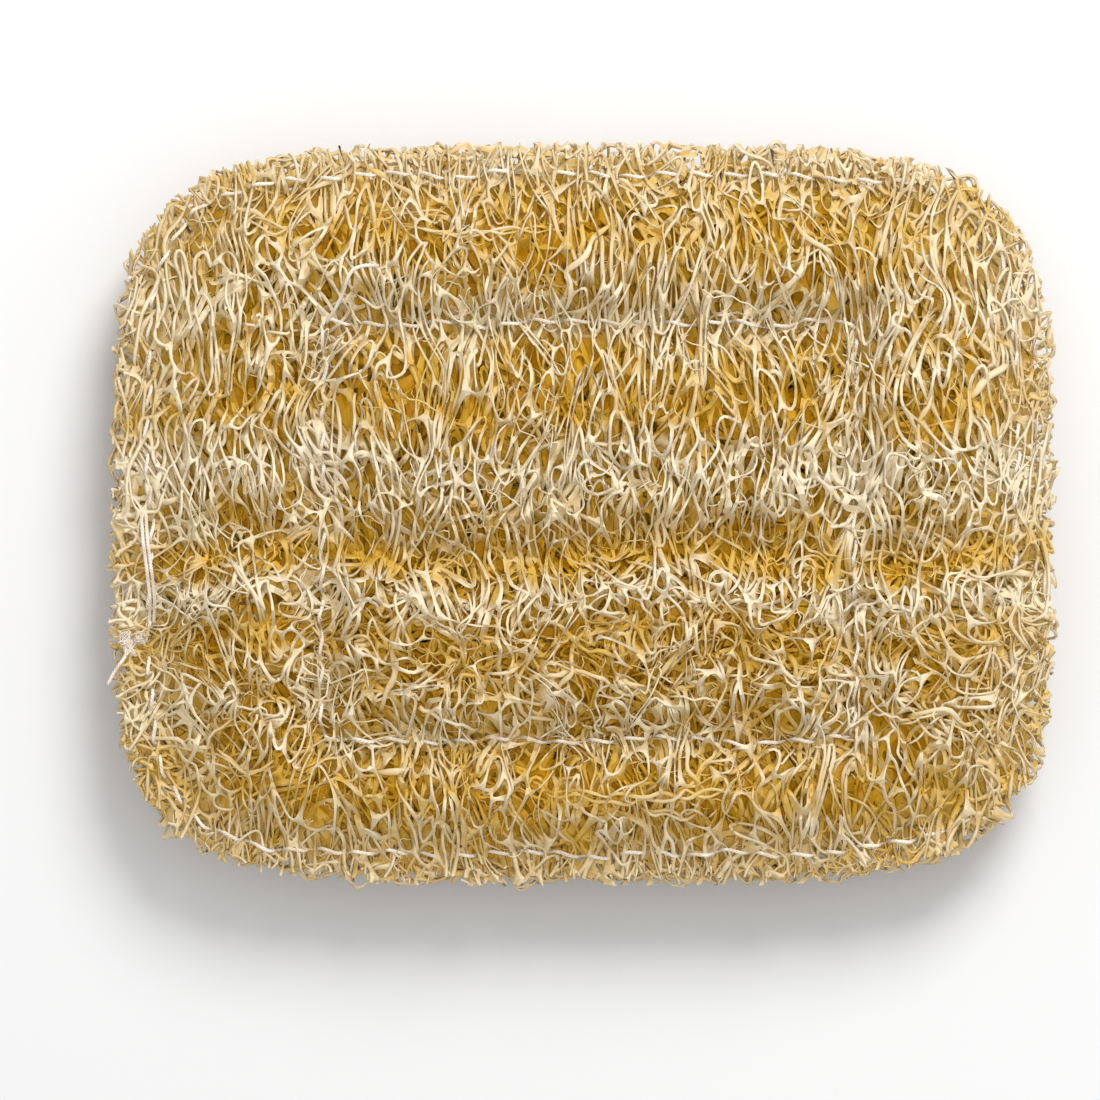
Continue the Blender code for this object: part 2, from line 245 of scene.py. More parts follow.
def linear(code: str) -> tuple[float, float, float, float]:
    """Turns an sRGB hex colour into linear light.

    Args:
        code: Six hex digits after a hash sign.

    Returns:
        Red, green, blue and an alpha of 1.
    """
    shares = [int(code[place : place + 2], 16) / 255 for place in (1, 3, 5)]
    red, green, blue = (c / 12.92 if c <= 0.04045 else ((c + 0.055) / 1.055) ** 2.4 for c in shares)
    return red, green, blue, 1.0


def add_node(
    tree: bpy.types.NodeTree, kind: str, properties: dict[str, Any], sockets: dict[Socket, Any], links: Links
) -> bpy.types.Node:
    """Adds one shader node.

    Args:
        tree: Node tree that it goes in.
        kind: Blender's name for the kind of node.
        properties: Values of its own properties.
        sockets: Values of its inputs, by name or by number.
        links: Node and output that feed each input.

    Returns:
        The new node.
    """
    node = tree.nodes.new(kind)
    for name, value in properties.items():
        setattr(node, name, value)
    for socket, value in sockets.items():
        node.inputs[socket].default_value = value
    for socket, (source, output) in links.items():
        tree.links.new(source.outputs[output], node.inputs[socket])
    return node


@dataclass(frozen=True)
class Finish:
    """A finish whose colours run through a ramp, and whose grain sets its roughness and bump.

    Args:
        name: Name of the real stuff.
        colours: Place from 0 to 1 and hex colour of each stop of the ramp.
        patches: Noises that pick the colour: cells to a metre, octaves and strength of each.
        span: What the noises, and the depth where there is one, add up to at the ramp's two ends.
        by_depth: Whether the piece's own depth attribute is added to the noises.
        grain_scale: Cells of the grain to a metre.
        grain_depth: Height of the grain.
        grain_range: Part of the grain's noise that the roughness is spread over.
        roughness: Least and most roughness.
        ior: Index of refraction.
        sheen: Strength of the sheen.
    """

    name: str
    colours: tuple[tuple[float, str], ...]
    patches: tuple[tuple[float, float, float], ...]
    span: tuple[float, float]
    by_depth: bool
    grain_scale: float
    grain_depth: float
    grain_range: tuple[float, float]
    roughness: tuple[float, float]
    ior: float = 1.5
    sheen: float = 0.0

    def material(self) -> bpy.types.Material:
        """Makes the material.

        Returns:
            The material, with a principled shader.
        """
        made = bpy.data.materials.new(self.name)
        made.use_nodes = True
        tree = made.node_tree
        shader = tree.nodes["Principled BSDF"]
        place = {"Vector": (add_node(tree, "ShaderNodeTexCoord", {}, {}, {}), "Object")}
        parts = []
        if self.by_depth:
            parts.append((add_node(tree, "ShaderNodeAttribute", {"attribute_name": PAINTED_SHADE_DEPTH}, {}, {}), "Fac"))
        for scale, octaves, size in self.patches:
            patch = add_node(tree, "ShaderNodeTexNoise", {}, {"Scale": scale, "Detail": octaves}, place)
            centred = {1: size, 2: -size / 2}
            spread = add_node(
                tree, "ShaderNodeMath", {"operation": "MULTIPLY_ADD"}, centred, {0: (patch, "Fac")}
            )
            parts.append((spread, "Value"))
        total = parts[0]
        for part in parts[1:]:
            links = {0: total, 1: part}
            total = (add_node(tree, "ShaderNodeMath", {"operation": "ADD"}, {}, links), "Value")
        ends = dict(zip(("From Min", "From Max"), self.span))
        share = add_node(tree, "ShaderNodeMapRange", {}, ends, {"Value": total})
        ramp = add_node(tree, "ShaderNodeValToRGB", {}, {}, {"Fac": (share, "Result")})
        stops = ramp.color_ramp.elements
        (stops[0].position, first), (stops[-1].position, last) = self.colours[0], self.colours[-1]
        stops[0].color, stops[-1].color = linear(first), linear(last)
        for stop, code in self.colours[1:-1]:
            stops.new(stop).color = linear(code)
        cells = {"Scale": self.grain_scale, "Detail": 1.0}
        grain = (add_node(tree, "ShaderNodeTexNoise", {}, cells, place), "Fac")
        gloss = dict(zip(("From Min", "From Max", "To Min", "To Max"), self.grain_range + self.roughness))
        rough = add_node(tree, "ShaderNodeMapRange", {}, gloss, {"Value": grain})
        height = {"Strength": 1.0, "Distance": self.grain_depth}
        bump = add_node(tree, "ShaderNodeBump", {}, height, {"Height": grain})
        tree.links.new(ramp.outputs["Color"], shader.inputs["Base Color"])
        tree.links.new(rough.outputs["Result"], shader.inputs["Roughness"])
        tree.links.new(bump.outputs["Normal"], shader.inputs["Normal"])
        shader.inputs["IOR"].default_value = self.ior
        shader.inputs["Sheen Weight"].default_value = self.sheen
        return made


# Dried loofah gourd fibre, pressed and bleached to a matt cream. Its colour turns straw, honey and amber the
# deeper a fibre lies: painted shade and warm light scattered among the fibres in the hollows. Its skin is
# waxy and finely pitted, so that it shines only faintly and unevenly. Real pits are about 0.1 mm wide and are
# drawn
# 0.3 mm wide so that they show.
FIBRE = Finish(
    "dried_loofah_fibre",
    colours=(
        (0.0, "#DCCFB8"),
        (0.23, "#D7C8AB"),
        (0.34, "#CAB58E"),
        (0.50, "#C8A552"),
        (0.72, "#CB9F22"),
        (1.0, "#CF9908"),
    ),
    patches=((170.0, 2.0, 1.7), (900.0, 2.0, 1.1)),
    span=(-2.0, 5.0),
    by_depth=True,
    grain_scale=3600.0,
    grain_depth=0.05 * MM,
    grain_range=(0.3, 0.7),
    roughness=(0.5, 0.72),
    ior=1.45,
)

# Spun sewing cotton: chalky white, soiled in patches, with a soft sheen and fine lint in place of a shine.
COTTON = Finish(
    "white_sewing_cotton",
    colours=((0.38, "#CCBDAC"), (0.58, "#E4DCD4")),
    patches=((420.0, 3.0, 1.0),),
    span=(-0.5, 0.5),
    by_depth=False,
    grain_scale=7000.0,
    grain_depth=0.03 * MM,
    grain_range=(0.0, 1.0),
    roughness=(0.8, 0.95),
    sheen=0.3,
)

# Dried husk of the gourd, left in crumbs after peeling: a dull, crusty red brown.
HUSK = Finish(
    "dried_gourd_husk",
    colours=((0.0, "#4A1D12"), (1.0, "#8A4A26")),
    patches=((2500.0, 2.0, 1.0),),
    span=(-0.5, 0.5),
    by_depth=False,
    grain_scale=2500.0,
    grain_depth=0.06 * MM,
    grain_range=(0.0, 1.0),
    roughness=(0.76, 0.84),
)


# Shared making


def add_object(
    name: str, mesh: bpy.types.Mesh, material: bpy.types.Material, node: str
) -> bpy.types.Object:
    """Puts a mesh in the scene, shaded smooth, riding with the pad in place of one of its plain parts.

    Args:
        name: Name of the piece.
        mesh: Its finished mesh, in place.
        material: Its finish.
        node: The plain part that it stands for.

    Returns:
        The new object.
    """
    mesh.materials.append(material)
    mesh.shade_smooth()
    made = bpy.data.objects.new(name, mesh)
    bpy.context.scene.collection.objects.link(made)
    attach(made, ROOT)
    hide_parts(node)
    LOG.info("%s: %d triangles", name, sum(len(face.vertices) - 2 for face in mesh.polygons))
    return made


def plan_of(items: bmesh.types.BMVertSeq | list[Vector]) -> tuple[Array, Array]:
    """Places along and across the pad of vertices or of bare points."""
    spots = [getattr(item, "co", item) for item in items]
    return np.array([spot.x for spot in spots]), np.array([spot.y for spot in spots])


def coordinates(mesh: bpy.types.Mesh) -> Array:
    """Vertex places of a mesh as rows of x, y and z."""
    places = np.empty(len(mesh.vertices) * 3, np.float32)
    mesh.vertices.foreach_get("co", places)
    return places.reshape(-1, 3).astype(np.float64)


# How depth is counted: what the way out through the side or the lower face comes to, from what height over
# the lower face the painted bands of light and shade count, and how much paler a strand's edge is painted
# than its middle, as a painted highlight.
SIDE_SHELTER = 0.7
SIDE_DEPTH = 0.3 * MM
UNDERSIDE_DEPTH = 0.5 * MM
UPPER_PART = 5 * MM
# A strand's edge is painted paler than its middle, a painted highlight along it, and its middle a little
# darker.
PAINTED_EDGE_HIGHLIGHT = 0.95
PAINTED_MIDDLE_SHADE = 0.25


def write_depth(mesh: bpy.types.Mesh) -> None:
    """Stores on each vertex how far it lies inside the pad, in millimetres.

    A sheltered place counts as deeper, painted bands of light and shade are added, and the thin edge of a
    strand counts as nearer, which paints a pale highlight along it. The fibre colour turns golden and darker
    with this depth, as painted shade and warm light scattered among the fibres.

    Args:
        mesh: Finished mesh of fibres, which may mark the edges of its strands.
    """
    x, y, z = coordinates(mesh).T
    sideways = (1 - FORM.share(x, y)) * FORM.half_width * SIDE_SHELTER + SIDE_DEPTH
    depth = np.minimum(FORM.top(x, y) - z, z - FORM.bottom(x, y) + UNDERSIDE_DEPTH)
    # Adds the painted bands of light and shade on the upper storeys.
    shade = FORM.painted_light_and_shade(x, y) * (z > FORM.bottom(x, y) + UPPER_PART)
    total = (np.minimum(depth, sideways) + shade) / MM
    edges = mesh.attributes.get(EDGE_HIGHLIGHT)
    if edges:
        marks = np.empty(len(total), np.float32)
        edges.data.foreach_get("value", marks)
        # Paints the strand edges paler and the middles a little darker.
        total = total + PAINTED_MIDDLE_SHADE - PAINTED_EDGE_HIGHLIGHT * marks
        mesh.attributes.remove(edges)
    kept = mesh.attributes.new(PAINTED_SHADE_DEPTH, "FLOAT", "POINT")
    kept.data.foreach_set("value", total.astype(np.float32))


@dataclass(frozen=True)
class Section:
    """Cross section of a drawn strand, as a flattened ring.

    Args:
        sides: How many corners the ring has.
        flatness: Its height over its width.
    """

    sides: int = 5
    flatness: float = 0.6

    def guide(self) -> bpy.types.Object:
        """Makes the ring as a closed curve, one millimetre in half width.

        Returns:
            The guide, which isn't in the scene.
        """
        ring = bpy.data.curves.new("section", "CURVE")
        line = ring.splines.new("POLY")
        line.points.add(self.sides - 1)
        for place, point in enumerate(line.points):
            turn = 2 * math.pi * place / self.sides
            point.co = (math.cos(turn) * MM, math.sin(turn) * MM * self.flatness, 0, 1)
        line.use_cyclic_u = True
        return bpy.data.objects.new("section", ring)


Path = tuple[Array, Array]


def draw_paths(name: str, paths: list[Path], section: Section) -> bpy.types.Mesh:
    """Draws strands along paths and turns them into one closed mesh.

    Args:
        name: Name of the mesh.
        paths: For each strand its points in metres and its half widths there.
        section: Cross section that all of them share.

    Returns:
        The mesh, without a finish.
    """
    guide = section.guide()
    lines = bpy.data.curves.new(name, "CURVE")
    lines.dimensions = "3D"
    lines.twist_mode = "Z_UP"
    lines.bevel_mode = "OBJECT"
    lines.bevel_object = guide
    lines.use_fill_caps = True
    for points, half_widths in paths:
        line = lines.splines.new("POLY")
        line.points.add(len(points) - 1)
        line.points.foreach_set("co", np.hstack([points, np.ones((len(points), 1))]).ravel())
        line.points.foreach_set("radius", half_widths / MM)
    holder = bpy.data.objects.new(name + "_lines", lines)
    bpy.context.scene.collection.objects.link(holder)
    graph = bpy.context.evaluated_depsgraph_get()
    made = bpy.data.meshes.new_from_object(holder.evaluated_get(graph))
    made.name = name
    bpy.data.objects.remove(holder)
    bpy.data.objects.remove(guide)
    mesh = bmesh.new()
    mesh.from_mesh(made)
    bmesh.ops.remove_doubles(mesh, verts=mesh.verts, dist=1e-6)
    bmesh.ops.recalc_face_normals(mesh, faces=mesh.faces)
    mesh.to_mesh(made)
    mesh.free()
    return made


def smooth_run(corners: Array, spacing: float, rounds: int) -> Array:
    """Puts points along a line through corners at an even spacing and rounds its bends.

    Args:
        corners: Corners of the line, in two or three dimensions.
        spacing: Distance between points.
        rounds: How often the line is smoothed.

    Returns:
        The points.
    """
    walked = np.concatenate([[0.0], np.cumsum(np.hypot.reduce(np.diff(corners, axis=0), axis=1))])
    places = np.linspace(0, walked[-1], max(int(walked[-1] / spacing), 4))
    line = np.column_stack([np.interp(places, walked, column) for column in corners.T])
    for _ in range(rounds):
        line[1:-1] = line[1:-1] * 0.5 + (line[:-2] + line[2:]) * 0.25
    return line


@dataclass(frozen=True)
class Drawn:
    """A piece that is drawn as strands along paths.

    NODE is the plain part that it stands for; SLOT names a finish slot that nothing here reads. Fibres carry
    their depth in the pad.
    """

    NODE = "loofah_mat"
    SLOT = "loofah_fibre"
    HAS_DEPTH = True

    def _name(self) -> str:
        """Name of the piece."""
        return self.name

    def _node(self) -> str:
        """The plain part that it stands for."""
        return self.NODE

    def _section(self) -> Section:
        """Cross section of its strands."""
        return self.section

    def _draw(self) -> list[Path]:
        """Works out the path of every strand."""
        raise NotImplementedError

    def build(self, material: bpy.types.Material) -> bpy.types.Object:
        """Draws the strands and dresses them.

        Args:
            material: Their finish.

        Returns:
            The finished piece.
        """
        data = draw_paths(self._name(), self._draw(), self._section())
        if self.HAS_DEPTH:
            write_depth(data)
        return add_object(self._name(), data, material, self._node())


# The net of fibres


class Grade(Enum):
    """How coarse the strands of a net are: the half widths that they are drawn from."""

    MIXED = (0.09 * MM, 0.13 * MM, 0.18 * MM, 0.26 * MM)
    COARSE = (0.12 * MM, 0.19 * MM, 0.28 * MM, 0.42 * MM)
    TISSUE = (0.50 * MM, 0.62 * MM, 0.75 * MM)
    PITH = (0.85 * MM, 1.05 * MM)


@dataclass(frozen=True)
class Net:
    """An irregular honeycomb of drawn-out meshes between flat forked strands, laid out on a flat sheet.

    Args:
        name: Name of the piece.
        seed: Draws its own net.
        grade: How coarse its strands are.
        cell_width: Usual width of a mesh.
        stretch: Length of its meshes against the usual length at that place.
        turn: Turns the whole net in plan, in degrees.
        wander: How far meshes stray from an even lie.
        lost_links: Share of the cross links that are missing.
        roll: How far the net rises and falls.
        half_height: Half the height of a strand.
        most_cuts: Most points that one strand between two forks is bent at.
        reach: Share of the pad's outline that the net reaches out to.
    """

    name: str
    seed: int
    grade: Grade = Grade.MIXED
    cell_width: float = 2.0 * MM
    stretch: float = 1.0
    turn: float = 0.0
    wander: float = 0.8 * MM
    lost_links: float = 0.25
    roll: float = 1.0 * MM
    half_height: float = 0.20 * MM
    most_cuts: int = 1
    reach: float = 0.986

    # Half widths of the strands in meshes that are too narrow for the grade's own.
    SLIVERS = (0.04 * MM, 0.06 * MM)
    # Largest perimeter of a face, past which it is a stray web.
    LONGEST_FACE = 9.0 * MM
    # Height of a row of the even net, and side of a mesh, for rows and meshes one apart.
    ROW_STEP = 0.866
    SIDE_SHARE = 0.577
    # How far the seeds of the meshes stray, against their distance.
    JITTER = 0.36
    # Share of a seed's links that becomes the side of its mesh, in percent.
    FORK_PLACE = 33.0
    # Lengths of strand from which it is bent at a second and a third point.
    BENDS = (1.2 * MM, 2.8 * MM)
    # Extra share of cross links that is missing in an opening.
    LOST_IN_HOLLOWS = 0.45
    # Part of a mesh's inner radius that a strand may fill, for a net and for pith.
    ROOM = 0.55
    PITH_ROOM = 0.8
    # Most that a fork's web reaches out, against the widest strand.
    WIDEST_WEB = 2.2
    # How far past its reach a face may lie.
    SPARE_REACH = 0.02
    # Size of the flat sheet, and the usual mesh heights at places across it.
    LENGTH = 136.0 * MM
    WIDTH = 112.0 * MM
    CELL_ROWS = (-36.0 * MM, -27.0 * MM, -22.0 * MM, -8.0 * MM, -3.0 * MM, 6.0 * MM, 34.0 * MM, 48.0 * MM)
    CELL_HEIGHTS = (4.8 * MM, 3.8 * MM, 2.4 * MM, 2.5 * MM, 4.2 * MM, 5.2 * MM, 5.6 * MM, 4.2 * MM)

    def _beyond(self, x: Array, y: Array, reach: Array) -> Array:
        """Which points of the sheet lie past the net's edge."""
        return FORM.share(x, y) > reach

    def _tangle(self, x: Array, y: Array) -> Array:
        """How tangled the fibres grow at places of the sheet, from 0 to 1."""
        return np.interp(y, (-32 * MM, -25 * MM, -8 * MM, 0.0), (0.35, 1.0, 1.0, 0.22))

    def _hollow(self, x: Array, y: Array) -> Array:
        """Where the storeys share an opening that shows the deep fibres, over 1 inside it."""
        return Waves(77, 7.5 * MM).at(x, y * 0.7)

    def _set(self, mesh: bmesh.types.BMesh) -> None:
        """Moves the finished net from its flat sheet into the pad."""
        raise NotImplementedError

    def _lay_out(self, mesh: bmesh.types.BMesh, rng: random.Random) -> None:
        """Makes an irregular honeycomb in plan."""
        rows_at = np.linspace(-self.WIDTH / 2, self.WIDTH / 2, 400)
        heights = np.interp(rows_at, self.CELL_ROWS, self.CELL_HEIGHTS) * self.stretch
        rows_along = np.cumsum(np.diff(rows_at) / heights[:-1])
        walked = np.concatenate([[0.0], rows_along]) * self.SIDE_SHARE / self.ROW_STEP
        rows = math.ceil(walked[-1])
        seed_step = self.cell_width / self.SIDE_SHARE
        columns = math.ceil(self.LENGTH / seed_step)
        bmesh.ops.create_grid(mesh, x_segments=columns, y_segments=rows, size=0.5)
        for vert in mesh.verts:
            row = round((vert.co.y + 0.5) * rows)
            shift = 0.25 if row % 2 else -0.25
            vert.co.x = vert.co.x * columns + shift + rng.uniform(-self.JITTER, self.JITTER)
            vert.co.y = (row + rng.uniform(-self.JITTER, self.JITTER)) * self.ROW_STEP
        bmesh.ops.triangulate(mesh, faces=mesh.faces, quad_method="SHORT_EDGE")
        bmesh.ops.beautify_fill(mesh, faces=mesh.faces, edges=mesh.edges, method="ANGLE")
        bmesh.ops.bevel(
            mesh,
            geom=mesh.verts,
            offset=self.FORK_PLACE,
            offset_type="PERCENT",
            segments=1,
            profile=0.5,
            affect="VERTICES",
            material=-1,
        )
        cosine = math.cos(math.radians(self.turn))
        sine = math.sin(math.radians(self.turn))
        for vert in mesh.verts:
            x = vert.co.x * seed_step
            y = float(np.interp(vert.co.y / self.ROW_STEP, walked, rows_at))
            vert.co = Vector((x * cosine - y * sine, x * sine + y * cosine, 0.0))

    def _stray(self, mesh: bmesh.types.BMesh) -> None:
        """Moves the meshes off their even lie, far where the fibres grow tangled."""
        x, y = plan_of(mesh.verts)
        tangle = self._tangle(x, y)
        moves = []
        for k in (1, 2):
            near = Waves(self.seed * 31 + k, 2.6 * MM).at(x, y) * 0.17 * MM
            middle = Waves(self.seed * 31 + k + 10, 6.5 * MM).at(x, y) * self.wander * tangle
            far = Waves(self.seed * 31 + k + 20, 19.0 * MM).at(x, y) * self.wander * 1.3
            moves.append(near + middle + far)
        for vert, dx, dy in zip(mesh.verts, *moves):
            vert.co.x += dx
            vert.co.y += dy

    def _draw_strands(self, mesh: bmesh.types.BMesh, rng: random.Random) -> None:
        """Bends the honeycomb's lines into strands and opens the meshes between them."""
        x, y = plan_of(mesh.verts)
        past = self._beyond(x, y, np.full_like(x, 1.12))
        far = [vert for vert, is_past in zip(mesh.verts, past) if is_past]
        bmesh.ops.delete(mesh, geom=far, context="VERTS")
        inner = [edge for edge in mesh.edges if not edge.is_boundary]
        x = np.array([(edge.verts[0].co.x + edge.verts[1].co.x) / 2 for edge in inner])
        y = np.array([(edge.verts[0].co.y + edge.verts[1].co.y) / 2 for edge in inner])
        opens = self.grade not in (Grade.TISSUE, Grade.PITH)
        chance = self.lost_links + self.LOST_IN_HOLLOWS * (self._hollow(x, y) > 1.0) * opens
        lost = []
        shortened: set[bmesh.types.BMVert] = set()
        for edge, part in zip(inner, chance):
            if rng.random() < part and shortened.isdisjoint(edge.verts):
                lost.append(edge)
                shortened.update(edge.verts)
        bmesh.ops.dissolve_edges(mesh, edges=lost, use_verts=False)
        loose = [vert for vert in mesh.verts if not vert.link_faces]
        bmesh.ops.delete(mesh, geom=loose, context="VERTS")
        by_cuts: dict[int, list[bmesh.types.BMEdge]] = {1: [], 2: [], 3: []}
        for edge in mesh.edges:
            length = edge.calc_length()
            wanted = 1 + sum(length >= bend for bend in self.BENDS)
            by_cuts[min(wanted, self.most_cuts)].append(edge)
        for cuts, edges in by_cuts.items():
            bmesh.ops.bisect_edges(mesh, edges=edges, cuts=cuts)
        self._stray(mesh)
        for _ in range(2):
            bmesh.ops.smooth_vert(
                mesh, verts=mesh.verts, factor=0.5, use_axis_x=True, use_axis_y=True, use_axis_z=False
            )
        bmesh.ops.recalc_face_normals(mesh, faces=mesh.faces)
        if sum(face.normal.z for face in mesh.faces) < 0:
            bmesh.ops.reverse_faces(mesh, faces=mesh.faces)
        half_widths = self.SLIVERS + self.grade.value
        x, y = plan_of([face.calc_center_median() for face in mesh.faces])
        thick = Waves(self.seed * 31 + 9, 6.0 * MM).at(x, y * 0.6)
        by_width: dict[float, list[bmesh.types.BMFace]] = {width: [] for width in half_widths}
        open_cells: list[bmesh.types.BMFace] = []
        for face, bias in zip(mesh.faces, thick):
            inradius = 2 * face.calc_area() / max(face.calc_perimeter(), 1e-9)
            rank = rng.random() + 0.22 * float(bias)
            usual = self.grade.value
            wanted = usual[min(max(int(rank * len(usual)), 0), len(usual) - 1)]
            room = inradius * (self.PITH_ROOM if self.grade is Grade.PITH else self.ROOM)
            fits = [width for width in half_widths if width <= min(wanted, room)]
            if fits:
                by_width[fits[-1]].append(face)
            else:
                open_cells.append(face)
        for width, faces in by_width.items():
            bmesh.ops.inset_individual(mesh, faces=faces, thickness=width, use_even_offset=True)
            open_cells += faces
        bmesh.ops.delete(mesh, geom=open_cells, context="FACES")

    def _round_meshes(self, mesh: bmesh.types.BMesh) -> None:
        """Rounds each mesh's corners, which leaves webs in the forks of the strands."""
        widest = max(self.grade.value) * self.WIDEST_WEB
        rims = {
            vert: [edge.other_vert(vert) for edge in vert.link_edges if edge.is_boundary]
            for vert in mesh.verts
            if vert.is_boundary
        }
        for vert in rims:
            for edge in vert.link_edges:
                if not edge.is_boundary:
                    crest = edge.other_vert(vert)
                    offset = vert.co - crest.co
                    if offset.length > widest:
                        vert.co = crest.co + offset * (widest / offset.length)
        for _ in range(2):
            moved = {}
            for vert, beside in rims.items():
                if len(beside) == 2:
                    moved[vert] = vert.co * 0.5 + (beside[0].co + beside[1].co) * 0.25
            for vert, place in moved.items():
                vert.co = place

    def _give_body(self, mesh: bmesh.types.BMesh) -> None:
        """Gives the flat net its lower side and cuts it at a ragged edge."""
        stray = [
            face
            for face in mesh.faces
            if all(vert.is_boundary for vert in face.verts) or face.calc_perimeter() > self.LONGEST_FACE
        ]
        bmesh.ops.delete(mesh, geom=stray, context="FACES")
        loose = [vert for vert in mesh.verts if not vert.link_faces]
        bmesh.ops.delete(mesh, geom=loose, context="VERTS")
        x, y = plan_of(mesh.verts)
        reach = self.reach + 0.010 * Waves(self.seed * 31 + 5, 1.6 * MM).at(x, y)
        past = self._beyond(x, y, reach)
        ridge = {vert: not vert.is_boundary for vert in mesh.verts}
        beyond = {vert for vert, is_past in zip(mesh.verts, past) if is_past and ridge[vert]}
        off_x, off_y = plan_of([face.calc_center_median() for face in mesh.faces])
        off = self._beyond(off_x, off_y, np.full_like(off_x, self.reach + self.SPARE_REACH))
        gone = [
            face for face, out in zip(mesh.faces, off) if out or not beyond.isdisjoint(face.verts)
        ]
        holes = [vert for vert in mesh.verts if not ridge[vert]]
        crests = [vert for vert in mesh.verts if ridge[vert]]
        highlight_mark = mesh.verts.layers.float[EDGE_HIGHLIGHT]
        # Marks the strands' edges for a painted pale highlight.
        for vert in holes:
            vert[highlight_mark] = 1.0
        thick = self.half_height * (1 + 0.3 * Waves(self.seed * 31 + 8, 3 * MM).at(x, y))
        half = dict(zip(mesh.verts, np.clip(thick, 0.09 * MM, 0.45 * MM)))
        copy = bmesh.ops.duplicate(mesh, geom=mesh.verts[:] + mesh.edges[:] + mesh.faces[:])
        twins = copy["vert_map"]
        lower_faces = [item for item in copy["geom"] if isinstance(item, bmesh.types.BMFace)]
        bmesh.ops.reverse_faces(mesh, faces=lower_faces)
        for vert in crests:
            vert.co.z += half[vert]
            twins[vert].co.z -= half[vert]
        gone_lower = [copy["face_map"][face] for face in gone if face in copy["face_map"]]
        bmesh.ops.weld_verts(mesh, targetmap={twins[vert]: vert for vert in holes})
        faces = [face for face in gone + gone_lower if face.is_valid]
        bmesh.ops.delete(mesh, geom=faces, context="FACES")
        self._close_ends(mesh)

    def _crease_folds(self, mesh: bmesh.types.BMesh) -> None:
        """Gives tight folds hard edges, because smoothing over one turns its light side dark."""
        mesh.normal_update()
        for face in mesh.faces:
            if any(face.normal.dot(vert.normal) < 0.25 for vert in face.verts):
                for edge in face.edges:
                    edge.smooth = False

    def _close_ends(self, mesh: bmesh.types.BMesh) -> None:
        """Closes the cut strands with sharp-edged ends, and takes away what can't be closed."""
        for _ in range(4):
            ends = bmesh.ops.holes_fill(mesh, edges=mesh.edges, sides=0)["faces"]
            for end in ends:
                for edge in end.edges:
                    edge.smooth = False
            torn = {face for edge in mesh.edges if edge.is_boundary for face in edge.link_faces}
            if not torn:
                break
            bmesh.ops.delete(mesh, geom=list(torn), context="FACES")

    def build(self, material: bpy.types.Material) -> bpy.types.Object:
        """Builds the net and dresses it.

        Args:
            material: Finish of the fibres.

        Returns:
            The finished piece.
        """
        rng = random.Random(self.seed)
        mesh = bmesh.new()
        mesh.verts.layers.float.new(EDGE_HIGHLIGHT)
        self._lay_out(mesh, rng)
        self._draw_strands(mesh, rng)
        self._round_meshes(mesh)
        self._give_body(mesh)
        self._set(mesh)
        self._crease_folds(mesh)
        data = bpy.data.meshes.new(self.name)
        mesh.to_mesh(data)
        mesh.free()
        write_depth(data)
        return add_object(self.name, data, material, "loofah_mat")


@dataclass(frozen=True)
class Storey(Net):
    """One storey of the pad's net, spread over the whole plan at its own level.

    Args:
        level: Height in the pad, from 0 at the lower face to 1 at the upper.
    """

    # Share of the outline that nothing passes, and the height over the floor that nothing goes under.
    CUT_EDGE = 0.997
    LOWEST = 0.15 * MM
    # Thickness of the pad from which a net rolls fully, and how far it sinks in an opening.
    FULL_ROOM = 14 * MM
    OPENING_DEPTH = 0.55 * MM

    level: float = 1.0

    def _set(self, mesh: bmesh.types.BMesh) -> None:
        """Lifts the net to its level, rolling as the pressed gourd does, within the cut edge."""
        x, y = plan_of(mesh.verts)
        drawn_in = np.minimum(1.0, self.CUT_EDGE / np.maximum(FORM.share(x, y), 0.1))
        x, y = x * drawn_in, y * drawn_in
        top = FORM.top(x, y)
        bottom = FORM.bottom(x, y)
        room = np.clip((top - bottom) / self.FULL_ROOM, 0.35, 1.0)
        roll = 0.6 * Waves(self.seed * 31 + 6, 6.0 * MM).at(x, y)
        roll += 0.35 * Waves(self.seed * 31 + 7, 2.6 * MM).at(x, y)
        sunk = self.OPENING_DEPTH * np.clip(self._hollow(x, y) - 0.8, 0, 1) * (self.level > 0.5)
        heights = bottom + (top - bottom) * self.level + roll * room * self.roll - sunk
        for vert, place_x, place_y, height in zip(mesh.verts, x, y, heights):
            vert.co = (place_x, place_y, max(vert.co.z + height, self.LOWEST))


